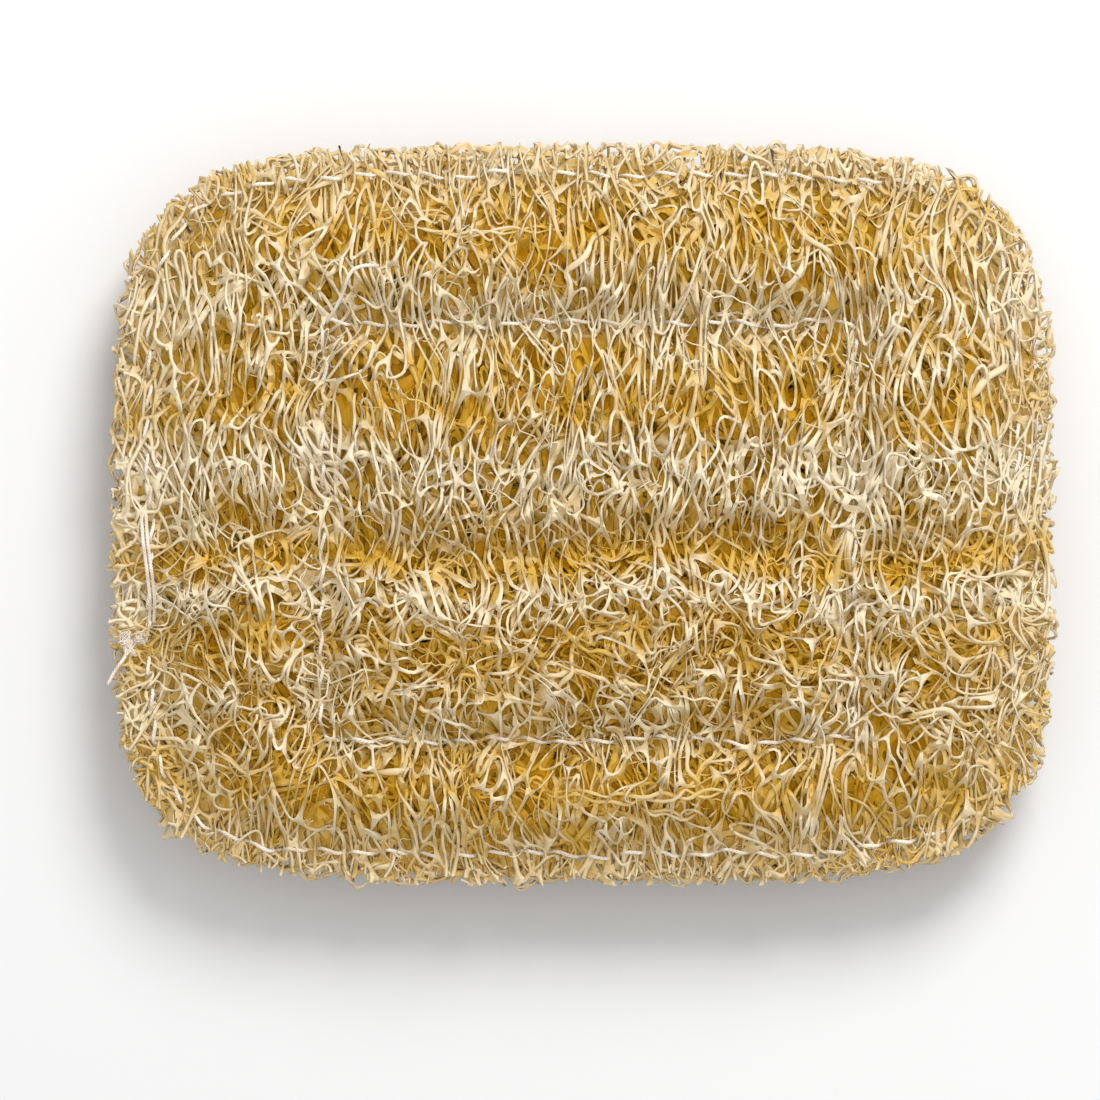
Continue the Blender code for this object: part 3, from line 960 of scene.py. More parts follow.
@dataclass(frozen=True)
class RimNet(Net):
    """The net that shows on the cut side of the pad, wrapped round its outline."""

    LENGTH = 360.0 * MM
    WIDTH = 22.0 * MM
    AROUND = 342.0 * MM
    SIDE = 8.0 * MM
    CELL_ROWS = (-11.0 * MM, 11.0 * MM)
    CELL_HEIGHTS = (2.6 * MM, 2.6 * MM)
    # How far inside the outline it lies at half height, and how much further at its upper and lower edge.
    INSET = 0.9 * MM
    ROUNDING = 1.6 * MM

    def _beyond(self, x: Array, y: Array, reach: Array) -> Array:
        """Which points of the sheet lie past the net's edge."""
        further = (reach - self.reach) * 30 * MM
        return (np.abs(y) > self.SIDE / 2 + further) | (np.abs(x) > self.AROUND / 2 + further)

    def _tangle(self, x: Array, y: Array) -> Array:
        """How tangled the fibres grow at places of the sheet, from 0 to 1."""
        return np.full_like(x, 0.5)

    def _hollow(self, x: Array, y: Array) -> Array:
        """Where the net has a larger opening, over 1 inside it."""
        return Waves(self.seed * 31 + 30, 5.0 * MM).at(x, y)

    def _set(self, mesh: bmesh.types.BMesh) -> None:
        """Wraps the sheet round the outline, bulging a little at half height."""
        turns = np.linspace(0, 2 * math.pi, 4000)
        ring_x, ring_y = FORM.ring(turns, FORM.outline_power)
        walked = np.concatenate([[0.0], np.cumsum(np.hypot(np.diff(ring_x), np.diff(ring_y)))])
        along, up = plan_of(mesh.verts)
        out = np.array([vert.co.z for vert in mesh.verts])
        place = (along / self.AROUND + 0.5) * walked[-1] % walked[-1]
        x = np.interp(place, walked, ring_x)
        y = np.interp(place, walked, ring_y)
        height = np.clip(up / self.SIDE + 0.5, 0, 1)
        swing = 0.5 * MM * Waves(self.seed * 31 + 6, 5.0 * MM).at(along, up)
        inwards = self.INSET + self.ROUNDING * (2 * height - 1) ** 2 - swing - out
        scale = 1 - inwards / FORM.half_width
        x, y = x * (1 - inwards / FORM.half_length), y * scale
        z = FORM.bottom(x, y) + (FORM.top(x, y) - FORM.bottom(x, y)) * height
        for vert, spot in zip(mesh.verts, np.column_stack([x, y, z])):
            vert.co = spot


# Single fibres


@dataclass(frozen=True)
class LooseFibres(Drawn):
    """Single fibres that wander over and through the upper storeys, many with a side branch.

    Args:
        name: Name of the piece.
        seed: Draws its own fibres.
        count: How many fibres there are before branching.
        lengths: Shortest and longest.
        half_widths: Thinnest and thickest.
        curl: How strongly they bend.
        depths: Shallowest and deepest lie of a fibre's middle under the upper face.
        points: Points along each fibre.
        branching: Share of them with a side branch.
        section: Cross section.
    """

    name: str
    seed: int
    count: int
    lengths: tuple[float, float] = (4.0 * MM, 12.0 * MM)
    half_widths: tuple[float, float] = (0.11 * MM, 0.30 * MM)
    curl: float = 1.0
    depths: tuple[float, float] = (-0.5 * MM, 1.6 * MM)
    points: int = 12
    branching: float = 0.4
    section: Section = Section()

    # Share of the outline that fibres end at, and the height over the floor that none goes under.
    REACH = 0.985
    LOWEST = 0.4 * MM

    def _tangle(self, y: Array) -> Array:
        """How tangled the fibres grow at places across the pad, from 0 to 1."""
        return np.interp(y, (-30 * MM, -24 * MM, -8 * MM, 0.0), (0.3, 1.0, 1.0, 0.15))

    def _headings(self, rng: np.random.Generator, y: Array) -> Array:
        """Directions that fibres start in: mostly along the gourd, any way where they grow tangled."""
        spread = 0.35 + 1.1 * self._tangle(y)
        lean = math.radians(95) + rng.normal(0, 1, len(y)) * spread
        return lean + math.pi * rng.integers(0, 2, len(y))

    def _walk(
        self, rng: np.random.Generator, x: Array, y: Array, heading: Array, length: Array, points: int
    ) -> Array:
        """Walks each fibre over the plan.

        Args:
            rng: Source of chance.
            x: Where they start along the pad.
            y: Where they start across the pad.
            heading: Directions that they start in.
            length: Their lengths.
            points: Points along each.

        Returns:
            An array of fibres by points by three: x, y and heading.
        """
        share = np.linspace(0, 1, points)[None, :]
        count = len(x)
        bend = rng.normal(0, 0.9, (count, 1)) * share
        for cycles in (1.0, 2.1, 3.7):
            phase = rng.uniform(0, 2 * math.pi, (count, 1))
            size = rng.normal(0, 0.55 / math.sqrt(cycles), (count, 1))
            bend = bend + size * np.sin(share * cycles * 2 * math.pi + phase)
        curl = self.curl * (0.45 + 0.55 * self._tangle(y))
        way = heading[:, None] + curl[:, None] * bend
        step = (length / (points - 1))[:, None]
        along_x = x[:, None] + np.cumsum(np.cos(way) * step, axis=1)
        along_y = y[:, None] + np.cumsum(np.sin(way) * step, axis=1)
        return np.stack([along_x, along_y, way], axis=2)

    def _heights(self, rng: np.random.Generator, walk: Array) -> Array:
        """Heights of each fibre's points: its middle near the face and its ends sunk among the others."""
        count, points, _ = walk.shape
        share = np.linspace(0, 1, points)[None, :]
        lie = rng.uniform(*self.depths, (count, 1))
        span = np.linalg.norm(np.diff(walk[:, [0, -1], :2], axis=1), axis=2)
        sink = rng.uniform(0.12, 0.30, (count, 1)) * span
        ends = np.abs(2 * share - 1) ** rng.uniform(1.5, 4.0, (count, 1))
        cycles = rng.uniform(0.6, 2.2, (count, 1))
        ripple = 0.25 * MM * np.sin(share * 2 * math.pi * cycles + rng.uniform(0, 6, (count, 1)))
        return FORM.top(walk[:, :, 0], walk[:, :, 1]) - lie - sink * ends + ripple

    def _paths(self, rng: np.random.Generator, walk: Array, heights: Array, widths: Array) -> list[Path]:
        """Turns walked fibres into paths, cut where they leave the pad.

        Args:
            rng: Source of chance.
            walk: Fibres by points by x, y and heading.
            heights: Fibres by points.
            widths: Half width of each fibre.

        Returns:
            The paths of all fibres long enough to keep.
        """
        inside = FORM.share(walk[:, :, 0], walk[:, :, 1]) < self.REACH
        share = np.linspace(0, 1, walk.shape[1])
        paths = []
        for fibre in range(len(walk)):
            last = int(np.argmin(inside[fibre])) if not inside[fibre].all() else len(share)
            if last < min(4, len(share)):
                continue
            flare = 1 + rng.uniform(-0.4, 0.7) * (1 - share) ** 3 + rng.uniform(-0.5, 0.5) * share**3
            spots = np.column_stack([walk[fibre, :last, :2], heights[fibre, :last]])
            spots[:, 2] = np.maximum(spots[:, 2], self.LOWEST)
            paths.append((spots, widths[fibre] * flare[:last]))
        return paths

    def _draw(self) -> list[Path]:
        """Strews the fibres and then their side branches."""
        rng = np.random.default_rng(self.seed)
        x = rng.uniform(-FORM.half_length, FORM.half_length, self.count)
        y = rng.uniform(-FORM.half_width, FORM.half_width, self.count)
        length = rng.uniform(*self.lengths, self.count)
        thin, thick = self.half_widths
        widths = thin + (thick - thin) * rng.random(self.count) ** 2
        walk = self._walk(rng, x, y, self._headings(rng, y), length, self.points)
        heights = self._heights(rng, walk)
        paths = self._paths(rng, walk, heights, widths)
        parents = np.flatnonzero(rng.random(self.count) < self.branching)
        at = rng.integers(2, self.points - 2, len(parents))
        fork = rng.choice((-1.0, 1.0), len(parents)) * rng.uniform(0.4, 1.0, len(parents))
        start = walk[parents, at]
        short = max(self.points * 2 // 3, 6)
        branch = self._walk(rng, start[:, 0], start[:, 1], start[:, 2] + fork, length[parents] * 0.5, short)
        own = self._heights(rng, branch)
        blend = np.clip(np.linspace(0, 2.5, short), 0, 1)[None, :]
        joined = heights[parents, at][:, None] * (1 - blend) + own * blend
        paths += self._paths(rng, branch, joined, widths[parents] * 0.8)
        return paths


@dataclass(frozen=True)
class RimEnds(LooseFibres):
    """Cut fibre ends that stand out of the pad's side and curl: where they root and how far they reach."""

    ROOTS = (0.93, 0.97)
    REACHES = (0.972, 0.999)

    def _headings(self, rng: np.random.Generator, y: Array) -> Array:
        """Directions that fibres start in, not yet turned outwards."""
        return rng.normal(0, 0.55, len(y))

    def _draw(self) -> list[Path]:
        """Roots the fibre ends round the rim and lets them out."""
        rng = np.random.default_rng(self.seed)
        turn = rng.uniform(0, 2 * math.pi, self.count)
        share = rng.uniform(*self.ROOTS, self.count)
        x, y = share * FORM.ring(turn, FORM.outline_power)
        flat = FORM.outline_power - 1
        out_x = np.sign(x) * np.abs(x / FORM.half_length) ** flat / FORM.half_length
        out_y = np.sign(y) * np.abs(y / FORM.half_width) ** flat / FORM.half_width
        heading = np.arctan2(out_y, out_x) + self._headings(rng, y)
        length = rng.uniform(*self.lengths, self.count)
        walk = self._walk(rng, x, y, heading, length, self.points)
        along = np.linspace(0, 1, self.points)[None, :]
        level = rng.uniform(0.02, 1.0, (self.count, 1)) + rng.normal(0, 0.12, (self.count, 1)) * along
        top = FORM.top(walk[:, :, 0], walk[:, :, 1])
        bottom = FORM.bottom(walk[:, :, 0], walk[:, :, 1])
        heights = bottom + (top - bottom) * level
        widths = rng.uniform(*self.half_widths, self.count)
        reach = FORM.share(walk[:, :, 0], walk[:, :, 1]) < rng.uniform(*self.REACHES, (self.count, 1))
        paths = []
        for fibre in range(self.count):
            last = int(np.argmin(reach[fibre])) if not reach[fibre].all() else self.points
            if last > 2:
                spots = np.column_stack([walk[fibre, :last, :2], heights[fibre, :last]])
                paths.append((spots, widths[fibre] * np.linspace(1.1, rng.uniform(0.4, 1.2), last)))
        return paths


@dataclass(frozen=True)
class Veins(Drawn):
    """The gourd's thick flat veins: a few that stand out on the face, and others among the storeys.

    MARKED gives for each vein that stands out how many strands it has, their half width and its corners in
    plan, in millimetres. The others lean by LEAN, bend after each STEP in millimetres and end at REACH.

    Args:
        name: Name of the piece.
        seed: Draws the others.
        others: How many others there are.
    """

    name: str = "thick_veins"
    seed: int = 61
    others: int = 60
    section: Section = Section(7, 0.42)

    LEAN = math.radians(97)
    STEP = 2.8
    REACH = 0.97
    MARKED = (
        (3, 0.17, ((-42.9, 36.9), (-39.5, 35.5), (-37.5, 34.4), (-35.5, 34.4), (-33.2, 35.0))),
        (2, 0.18, ((-24.9, 36.0), (-22.9, 36.4), (-21.3, 35.8), (-18.8, 35.7), (-15.7, 35.7))),
        (3, 0.17, ((-22.6, 34.9), (-18.3, 33.9), (-15.7, 33.5), (-12.6, 33.3), (-9.5, 33.4), (-3.2, 34.0))),
        (1, 0.36, ((-34.1, 38.9), (-31.8, 39.4), (-29.5, 39.9), (-28.0, 40.7), (-26.4, 41.2))),
        (3, 0.24, ((-55.4, -27.7), (-52.9, -27.2), (-50.3, -27.4), (-47.2, -28.0), (-43.2, -28.4))),
        (
            2,
            0.20,
            ((-45.2, -28.2), (-43.2, -28.4), (-41.6, -29.8), (-40.1, -30.5), (-37.5, -30.2), (-36.0, -29.5)),
        ),
        (
            2,
            0.16,
            ((-33.6, -30.6), (-30.0, -29.3), (-27.2, -28.0), (-25.2, -26.8), (-23.2, -26.2), (-19.5, -27.0)),
        ),
        (1, 0.36, ((-25.2, -30.4), (-23.1, -30.6), (-20.6, -30.4))),
        (1, 0.42, ((-22.4, -13.5), (-22.3, -17.5), (-23.2, -21.0), (-24.5, -24.0))),
        (1, 0.40, ((13.6, -12.6), (11.4, -16.5), (8.6, -21.0))),
        (1, 0.28, ((-9.0, -21.3), (-3.3, -18.8), (1.1, -18.8), (4.1, -21.3), (7.6, -21.3))),
        (2, 0.22, ((-4.0, -33.4), (3.0, -33.9), (10.0, -33.6), (19.0, -32.1))),
        (1, 0.34, ((24.6, 35.4), (27.0, 32.4), (30.0, 30.2))),
        (1, 0.34, ((26.8, 31.4), (25.0, 28.4), (22.6, 25.4))),
        (1, 0.46, ((51.2, 19.0), (49.6, 17.4), (47.6, 15.4), (45.4, 13.8))),
        (2, 0.22, ((6.6, -35.1), (10.2, -36.3), (14.2, -35.9))),
    )

    def _draw(self) -> list[Path]:
        """Lays the marked veins, and the others where they fit."""
        rng = np.random.default_rng(self.seed)
        lines = []
        for strands, half, corners in self.MARKED:
            for _ in range(strands):
                apart = rng.normal(0, 0.34 if strands > 1 else 0.0, (len(corners), 2))
                lines.append((half * MM, (np.array(corners) + apart) * MM, rng.uniform(0.0, 0.5) * MM))
        wanted = len(lines) + self.others
        while len(lines) < wanted:
            x = rng.uniform(-0.93, 0.93) * FORM.half_length
            y = rng.uniform(-0.93, 0.93) * FORM.half_width
            tangled = -27 * MM < y < -4 * MM
            heading = self.LEAN + rng.normal(0, 1.3 if tangled else 0.32)
            corners = [(x, y)]
            for _ in range(rng.integers(2, 6)):
                heading += rng.normal(0, 0.45)
                x += math.cos(heading) * self.STEP * MM
                y += math.sin(heading) * self.STEP * MM
                corners.append((x, y))
            if max(FORM.share(*np.array(corners).T)) < self.REACH:
                lines.append((rng.uniform(0.24, 0.44) * MM, np.array(corners), rng.uniform(0.0, 1.8) * MM))
        paths = []
        for half, corners, depth in lines:
            line = smooth_run(corners, 0.7 * MM, 4)
            share = np.linspace(-1, 1, len(line))
            wobble = Waves(int(rng.integers(1000)), 5 * MM)
            sway = np.column_stack([wobble.at(line[:, 0], line[:, 1]), wobble.at(line[:, 1], line[:, 0])])
            line = line + 0.30 * MM * sway
            face = FORM.top(line[:, 0], line[:, 1])
            z = face - depth - 1.5 * MM * np.abs(share) ** 4 + 0.25 * MM * sway[:, 0]
            width = half * (1 + 0.16 * wobble.at(line[:, 0] * 2, line[:, 1] * 2) - 0.45 * np.abs(share) ** 3)
            paths.append((np.column_stack([line, z]), width))
        return paths


# The sewn seams


class SeamLine(Enum):
    """The two closed lines that the pad is sewn along."""

    OUTER = "outer_seam"
    INNER = "inner_seam"


class Side(Enum):
    """The thread of a lockstitch: the needle's lies on the upper face and the bobbin's on the lower."""

    NEEDLE = "needle_thread"
    BOBBIN = "bobbin_thread"


@dataclass(frozen=True)
class Yarn:
    """Three plies of cotton wound round a middle line."""

    ply_radius: float = 0.125 * MM
    twist_pitch: float = 1.3 * MM

    def plies(self, middle: Array) -> list[Path]:
        """Winds the three plies.

        Args:
            middle: The yarn's middle line.

        Returns:
            The path of each ply.
        """
        way = np.gradient(middle, axis=0)
        way /= np.linalg.norm(way, axis=1)[:, None]
        across = np.cross(way, (0, 0, 1.0))
        across /= np.maximum(np.linalg.norm(across, axis=1), 1e-6)[:, None]
        over = np.cross(across, way)
        walked = np.concatenate([[0.0], np.cumsum(np.linalg.norm(np.diff(middle, axis=0), axis=1))])
        paths = []
        for ply in range(3):
            turn = 2 * math.pi * (walked / self.twist_pitch + ply / 3)
            wound = np.cos(turn)[:, None] * across + np.sin(turn)[:, None] * over
            paths.append((middle + 1.02 * self.ply_radius * wound, np.full(len(middle), self.ply_radius)))
        return paths


@dataclass(frozen=True)
class Thread(Drawn):
    """One thread of a lockstitched seam: three plies of cotton that dip into the net at each needle hole.

    Args:
        line: The seam that it runs along.
        side: Whether it is the needle's or the bobbin's.
        seed: Draws its unevenness.
    """

    line: SeamLine
    side: Side
    seed: int
    yarn: Yarn = Yarn()
    stitch: float = 4.05 * MM
    spacing: float = 0.22 * MM
    lift: float = 0.20 * MM
    dip: float = 2.2 * MM
    corner_power: float = 6.0

    SLOT = "cotton_thread"
    HAS_DEPTH = False
    HAIRS = 260
    TAIL = (
        (-30.6, 22.8, 13.0),
        (-29.4, 24.4, 16.2),
        (-28.4, 26.3, 17.7),
        (-28.0, 27.8, 18.3),
        (-27.3, 29.0, 18.6),
        (-25.9, 29.5, 18.7),
        (-24.2, 29.4, 18.5),
    )

    def _plan(self) -> Array:
        """The seam's closed line in plan, as finely spaced points."""
        if self.line is SeamLine.OUTER:
            turns = np.linspace(0, 2 * math.pi, 4000) + math.pi
            return np.column_stack(FORM.ring(turns, self.corner_power)) * FORM.outer_seam_share
        left, right = FORM.inner_left, FORM.inner_right
        front, back = FORM.inner_front, FORM.inner_back
        return np.array([(left, back), (right, back), (right, front), (left, front), (left, back)])

    def _middle(self) -> Array:
        """The thread's middle line, up and down through the net."""
        plan = self._plan()
        walked = np.concatenate([[0.0], np.cumsum(np.hypot(*np.diff(plan, axis=0).T))])
        places = np.linspace(0, walked[-1], int(walked[-1] / self.spacing))
        x = np.interp(places, walked, plan[:, 0])
        y = np.interp(places, walked, plan[:, 1])
        for _ in range(6):
            x[1:-1] = x[1:-1] * 0.5 + (x[:-2] + x[2:]) * 0.25
            y[1:-1] = y[1:-1] * 0.5 + (y[:-2] + y[2:]) * 0.25
        stitches = round(walked[-1] / self.stitch)
        phase = places / walked[-1] * stitches
        drift = 0.16 * MM * np.sin(2 * math.pi * phase) + 0.22 * MM * Waves(self.seed, 11 * MM).at(x, y)
        way = np.column_stack([np.gradient(x), np.gradient(y)])
        way /= np.linalg.norm(way, axis=1)[:, None]
        x, y = x - way[:, 1] * drift, y + way[:, 0] * drift
        dip = self.dip * np.abs(np.cos(math.pi * phase)) ** 6
        uneven = 0.22 * MM * Waves(self.seed + 1, 5 * MM).at(x, y)
        uneven += 0.38 * MM * Waves(self.seed + 2, 16 * MM).at(x, y)
        uneven -= 0.8 * MM * np.clip((x - 25 * MM) / (20 * MM), 0, 1)
        if self.side is Side.NEEDLE:
            z = FORM.top(x, y) + self.lift - dip + uneven
        else:
            z = FORM.bottom(x, y) - 0.3 * MM + dip * 0.6 + uneven * 0.3
        return np.column_stack([x, y, np.maximum(z, 0.5 * MM)])

    def _hair(self, rng: np.random.Generator, middle: Array) -> Path:
        """One fine hair that stands off the thread."""
        root = middle[rng.integers(5, len(middle) - 5)]
        lean = rng.normal(0, 1, 3)
        lean[2] = abs(lean[2]) * (1 if self.side is Side.NEEDLE else -1) * 0.7
        lean /= np.linalg.norm(lean)
        bend = rng.normal(0, 0.5, 3)
        reach = rng.uniform(0.5, 1.5) * MM
        steps = np.linspace(0, 1, 4)[:, None]
        points = root + (lean * steps + bend * steps**2) * reach
        points[:, 2] = np.maximum(points[:, 2], 0.1 * MM)
        return points, np.linspace(0.035, 0.015, 4) * MM

    def _name(self) -> str:
        """Name of the piece."""
        return self._node() + "_yarn"

    def _node(self) -> str:
        """The plain part that it stands for."""
        return f"{self.line.value}_{self.side.value}"

    def _section(self) -> Section:
        """Cross section of its plies, plainer underneath."""
        return Section(5 if self.side is Side.NEEDLE else 4, 1.0)

    def _draw(self) -> list[Path]:
        """Winds the plies along the seam and its tail, and frays the upper thread."""
        rng = np.random.default_rng(self.seed)
        runs = [self._middle()]
        if self.line is SeamLine.INNER and self.side is Side.NEEDLE:
            runs.append(smooth_run(np.array(self.TAIL) * MM, self.spacing, 6))
        paths = [ply for run in runs for ply in self.yarn.plies(run)]
        if self.side is Side.NEEDLE:
            paths += [self._hair(rng, runs[0]) for _ in range(self.HAIRS)]
        return paths


@dataclass(frozen=True)
class SeamEnd(Drawn):
    """Where the outer seam ends on the left side: doubled yarn, a fluffed knot and a short frayed end."""

    name: str = "seam_end_yarn"
    section: Section = Section(4, 1.0)
    seed: int = 41
    yarn: Yarn = Yarn(0.12 * MM, 1.2 * MM)
    knot: tuple[float, float, float] = (-54.0 * MM, -15.0 * MM, 10.2 * MM)
    spread: tuple[float, float, float] = (0.65 * MM, 0.85 * MM, 0.25 * MM)
    lumps: int = 6
    hairs: int = 30

    NODE = "outer_seam_needle_thread"
    SLOT = "cotton_thread"
    HAS_DEPTH = False
    DOUBLED = (
        (-52.9, 1.0, 9.9),
        (-52.6, -3.0, 11.3),
        (-52.0, -7.4, 11.5),
        (-51.7, -10.4, 10.9),
        (-51.9, -13.0, 9.6),
    )
    LOOSE_END = ((-54.2, -16.0, 10.0), (-54.9, -17.4, 10.6), (-56.0, -18.8, 10.7), (-56.8, -20.4, 10.1))

    def _fluff(self, rng: np.random.Generator, lump: Array, radius: float) -> Path:
        """One hair of the fluffed knot, curled within its lump or straying out of it."""
        turn = rng.uniform(0, 2 * math.pi, 3)
        speed = rng.uniform(1.5, 5.0, 3)
        steps = np.linspace(0, 1, 10)
        curl = np.column_stack([np.sin(turn[k] + speed[k] * steps) for k in range(3)])
        curl *= rng.uniform(0.35, 1.25) * radius
        curl[:, 2] *= 0.6
        return lump + curl, np.linspace(0.065, 0.03, 10) * MM

    def _draw(self) -> list[Path]:
        """Winds the doubled yarn and the frayed end, and fluffs the knot."""
        rng = np.random.default_rng(self.seed)
        paths = []
        for corners, apart in ((self.DOUBLED, 0.0), (self.DOUBLED, 0.55), (self.LOOSE_END, 0.0)):
            run = np.array(corners, float)
            run[:, 0] += apart
            paths += self.yarn.plies(smooth_run(run * MM, 0.2 * MM, 20))
        for _ in range(self.lumps):
            lump = np.array(self.knot) + rng.normal(0, 1, 3) * np.array(self.spread)
            radius = rng.uniform(0.35, 0.75) * MM
            paths += [self._fluff(rng, lump, radius) for _ in range(self.hairs)]
        return paths


@dataclass(frozen=True)
class HuskCrumbs(Drawn):
    """Crumbs of husk caught in the net: three on the face, and others strewn."""

    name: str = "husk_crumbs"
    section: Section = Section(6, 0.7)
    seed: int = 51
    strewn: int = 16

    HAS_DEPTH = False
    MARKED = ((16.6, -0.1), (-2.2, 29.7), (-35.1, -28.4))

    def _draw(self) -> list[Path]:
        """Works out the shape of every crumb."""
        rng = np.random.default_rng(self.seed)
        spots = [(x * MM, y * MM, 0.5 * MM) for x, y in self.MARKED]
        for _ in range(self.strewn):
            spot = (rng.uniform(-50, 50) * MM, rng.uniform(-38, 38) * MM, rng.uniform(0.8, 2.0) * MM)
            spots.append(spot)
        paths = []
        for x, y, depth in spots:
            heading = rng.uniform(0, math.pi)
            reach = rng.uniform(0.20, 0.45) * MM
            way = np.array([math.cos(heading), math.sin(heading)])
            plan = np.array([x, y]) + np.array([-1.0, -0.5, 0.2, 1.0])[:, None] * way * reach
            z = FORM.top(plan[:, 0], plan[:, 1]) - depth + rng.normal(0, 0.08 * MM, 4)
            paths.append((np.column_stack([plan, z]), np.array([0.05, 0.17, 0.19, 0.06]) * MM))
        return paths


# Floor, light and camera


@dataclass(frozen=True)
class Studio:
    """A pale floor, soft light from the back right, and a camera straight above."""

    frame_width: float = 131.4 * MM
    centre: tuple[float, float] = (-3.9 * MM, -4.3 * MM)
    distance: float = 0.9
    sensor: float = 36.0
    floor_white: float = 0.97
    daylight: float = 0.60
    key: tuple[float, float] = (0.40, 5.0)
    key_place: tuple[float, float, float] = (0.23, 0.59, 0.52)
    fill: tuple[float, float] = (0.16, 6.4)
    fill_colour: tuple[float, float, float] = (1.0, 0.93, 0.70)
    fill_height: float = 1.2

    def _lamp(
        self, name: str, size: float, power: float, place: tuple[float, float, float]
    ) -> bpy.types.Object:
        """Adds a round soft lamp that points at the pad.

        Args:
            name: Its name.
            size: Its diameter in metres.
            power: Its power in watts.
            place: Where it hangs.

        Returns:
            The lamp.
        """
        light = bpy.data.lights.new(name, "AREA")
        light.shape = "DISK"
        light.size = size
        light.energy = power
        lamp = bpy.data.objects.new(name, light)
        lamp.location = place
        lamp.rotation_euler = (Vector((0, 0, 0)) - lamp.location).to_track_quat("-Z", "Y").to_euler()
        bpy.context.scene.collection.objects.link(lamp)
        return lamp

    def build(self, pieces: list[bpy.types.Object]) -> None:
        """Sets up the floor, the lights, the world and the camera.

        Args:
            pieces: The pad's own pieces, which the soft overhead light is for.
        """
        scene = bpy.context.scene
        bpy.ops.mesh.primitive_plane_add(size=3.0, location=(0, 0, 0))
        floor = bpy.context.object
        floor.name = "floor"
        paint = bpy.data.materials.new("white_board")
        paint.use_nodes = True
        white = paint.node_tree.nodes["Principled BSDF"].inputs
        white["Base Color"].default_value = (self.floor_white, self.floor_white, self.floor_white, 1)
        white["Roughness"].default_value = 0.9
        floor.data.materials.append(paint)
        self._lamp("key", *self.key, self.key_place)
        fill = self._lamp("overhead_fill", *self.fill, (0.0, 0.0, self.fill_height))
        fill.data.color = self.fill_colour
        lit = bpy.data.collections.new("lit_from_overhead")
        for piece in pieces:
            lit.objects.link(piece)
        fill.light_linking.receiver_collection = lit
        world = bpy.data.worlds.new("studio")
        world.use_nodes = True
        world.node_tree.nodes["Background"].inputs["Color"].default_value = (1, 1, 1, 1)
        world.node_tree.nodes["Background"].inputs["Strength"].default_value = self.daylight
        scene.world = world
        lens = bpy.data.cameras.new("camera")
        lens.sensor_width = self.sensor
        lens.lens = self.sensor * self.distance / self.frame_width
        camera = bpy.data.objects.new("camera", lens)
        camera.location = (*self.centre, self.distance + 12 * MM)
        scene.collection.objects.link(camera)
        scene.camera = camera
        scene.view_settings.view_transform = "Standard"


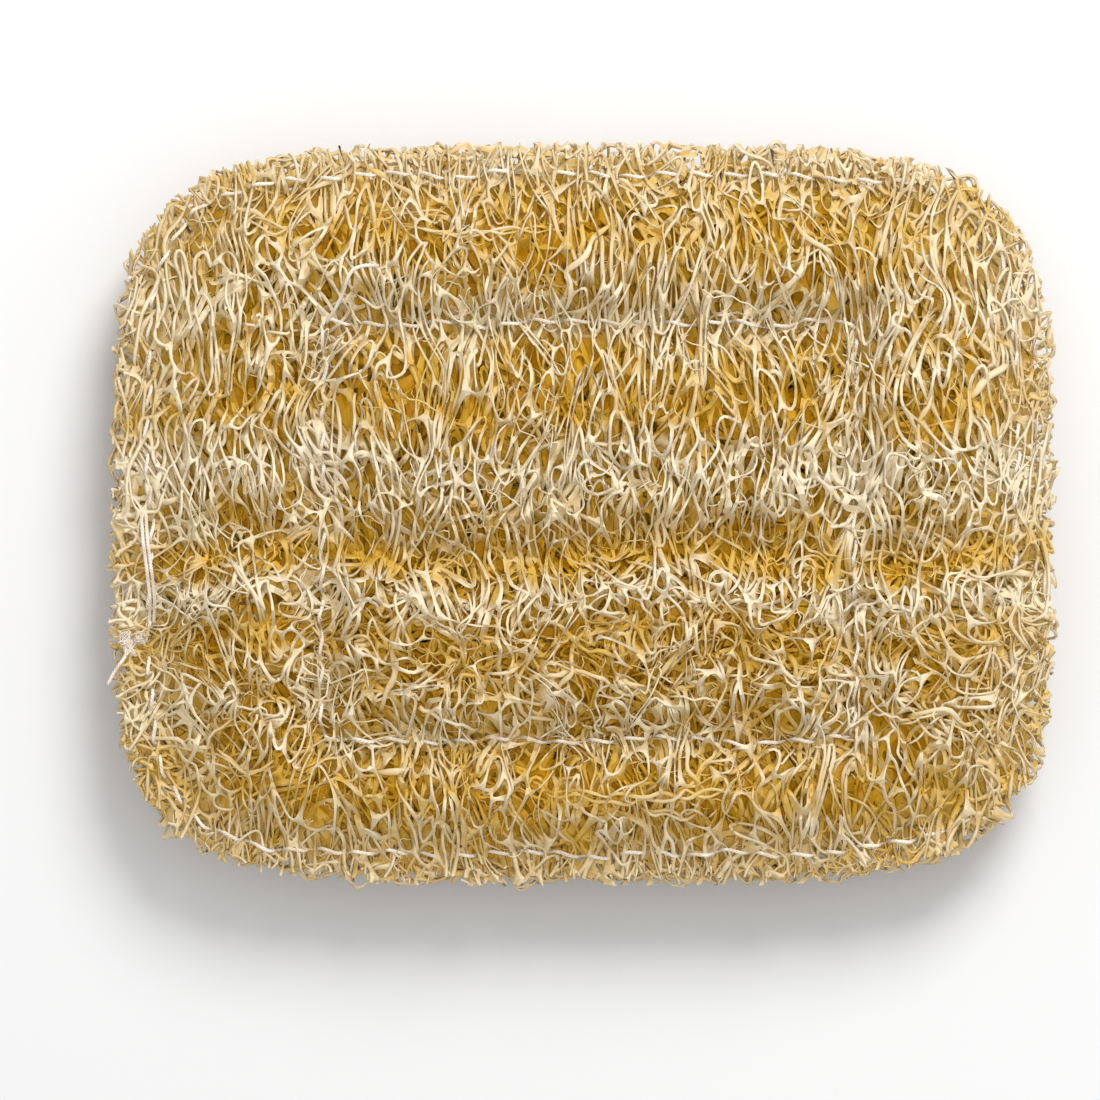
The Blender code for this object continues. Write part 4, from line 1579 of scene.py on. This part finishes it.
def main() -> None:
    """Builds every piece in order."""
    fibre = FIBRE.material()
    cotton = COTTON.material()
    nets = (
        Storey("crest_net", 3, Grade.MIXED, 1.95 * MM, 1.1, -4.0, lost_links=0.36, most_cuts=3),
        Storey(
            "face_net", 4, Grade.MIXED, 1.85 * MM, 1.05, 6.0,
            lost_links=0.30, most_cuts=2, level=0.96,
        ),
        Storey(
            "second_net", 5, Grade.COARSE, 2.1 * MM, 1.05, -9.0,
            lost_links=0.30, most_cuts=2, level=0.915,
        ),
        Storey("third_net", 6, Grade.MIXED, 2.0 * MM, 0.95, 11.0, lost_links=0.28, level=0.865),
        Storey("fourth_net", 14, Grade.COARSE, 2.2 * MM, 0.9, 16.0, lost_links=0.22, level=0.81),
        Storey(
            "upper_tissue", 8, Grade.TISSUE, 2.6 * MM, 1.0, 6.0,
            lost_links=0.03, reach=INNER_REACH, level=0.73,
        ),
        Storey(
            "middle_tissue", 9, Grade.TISSUE, 2.8 * MM, 0.9, 40.0,
            lost_links=0.03, reach=INNER_REACH, level=0.60,
        ),
        Storey(
            "pith", 15, Grade.PITH, 3.6 * MM, 1.0, -20.0,
            lost_links=0.0, roll=0.8 * MM, reach=0.92, level=0.42,
        ),
        Storey(
            "lower_tissue", 10, Grade.TISSUE, 2.9 * MM, 0.9, -15.0,
            lost_links=0.03, reach=INNER_REACH, level=0.24,
        ),
        Storey(
            "under_net", 11, Grade.COARSE, 2.7 * MM, 0.9, 14.0,
            lost_links=0.22, roll=0.8 * MM, level=0.10,
        ),
        Storey(
            "floor_net", 12, Grade.MIXED, 2.4 * MM, 0.9, -6.0,
            lost_links=0.20, roll=0.5 * MM, level=0.02,
        ),
        RimNet("rim_net", 13, Grade.MIXED, 1.7 * MM, wander=0.5 * MM, lost_links=0.1, most_cuts=2),
    )
    pieces = [net.build(fibre) for net in nets]
    pieces.append(Veins().build(fibre))
    thin = Section(4, 0.8)
    fibres = (
        LooseFibres("wandering_fibres", 21, 260, (5.0 * MM, 13.0 * MM), (0.10 * MM, 0.24 * MM), 0.9),
        LooseFibres(
            "curled_fibrils", 22, 170, (3.0 * MM, 8.0 * MM), (0.06 * MM, 0.10 * MM), 1.5,
            (-0.5 * MM, 1.0 * MM), 14, 0.3, thin,
        ),
        LooseFibres(
            "side_twigs", 24, 600, (0.9 * MM, 2.4 * MM), (0.07 * MM, 0.13 * MM), 1.1,
            (-0.2 * MM, 1.4 * MM), 5, 0.0, thin,
        ),
        RimEnds("rim_ends", 23, 190, (1.2 * MM, 2.6 * MM), (0.08 * MM, 0.18 * MM), 0.8, points=7),
    )
    pieces += [kind.build(fibre) for kind in fibres]
    sewn = (
        Thread(SeamLine.OUTER, Side.NEEDLE, 31),
        Thread(SeamLine.OUTER, Side.BOBBIN, 33, spacing=0.3 * MM),
        Thread(SeamLine.INNER, Side.NEEDLE, 35),
        Thread(SeamLine.INNER, Side.BOBBIN, 37, spacing=0.3 * MM),
        SeamEnd(),
    )
    pieces += [thread.build(cotton) for thread in sewn]
    pieces.append(HuskCrumbs().build(HUSK.material()))
    Studio().build(pieces)


if __name__ == "__main__":
    logging.basicConfig(level=logging.INFO)
    main()
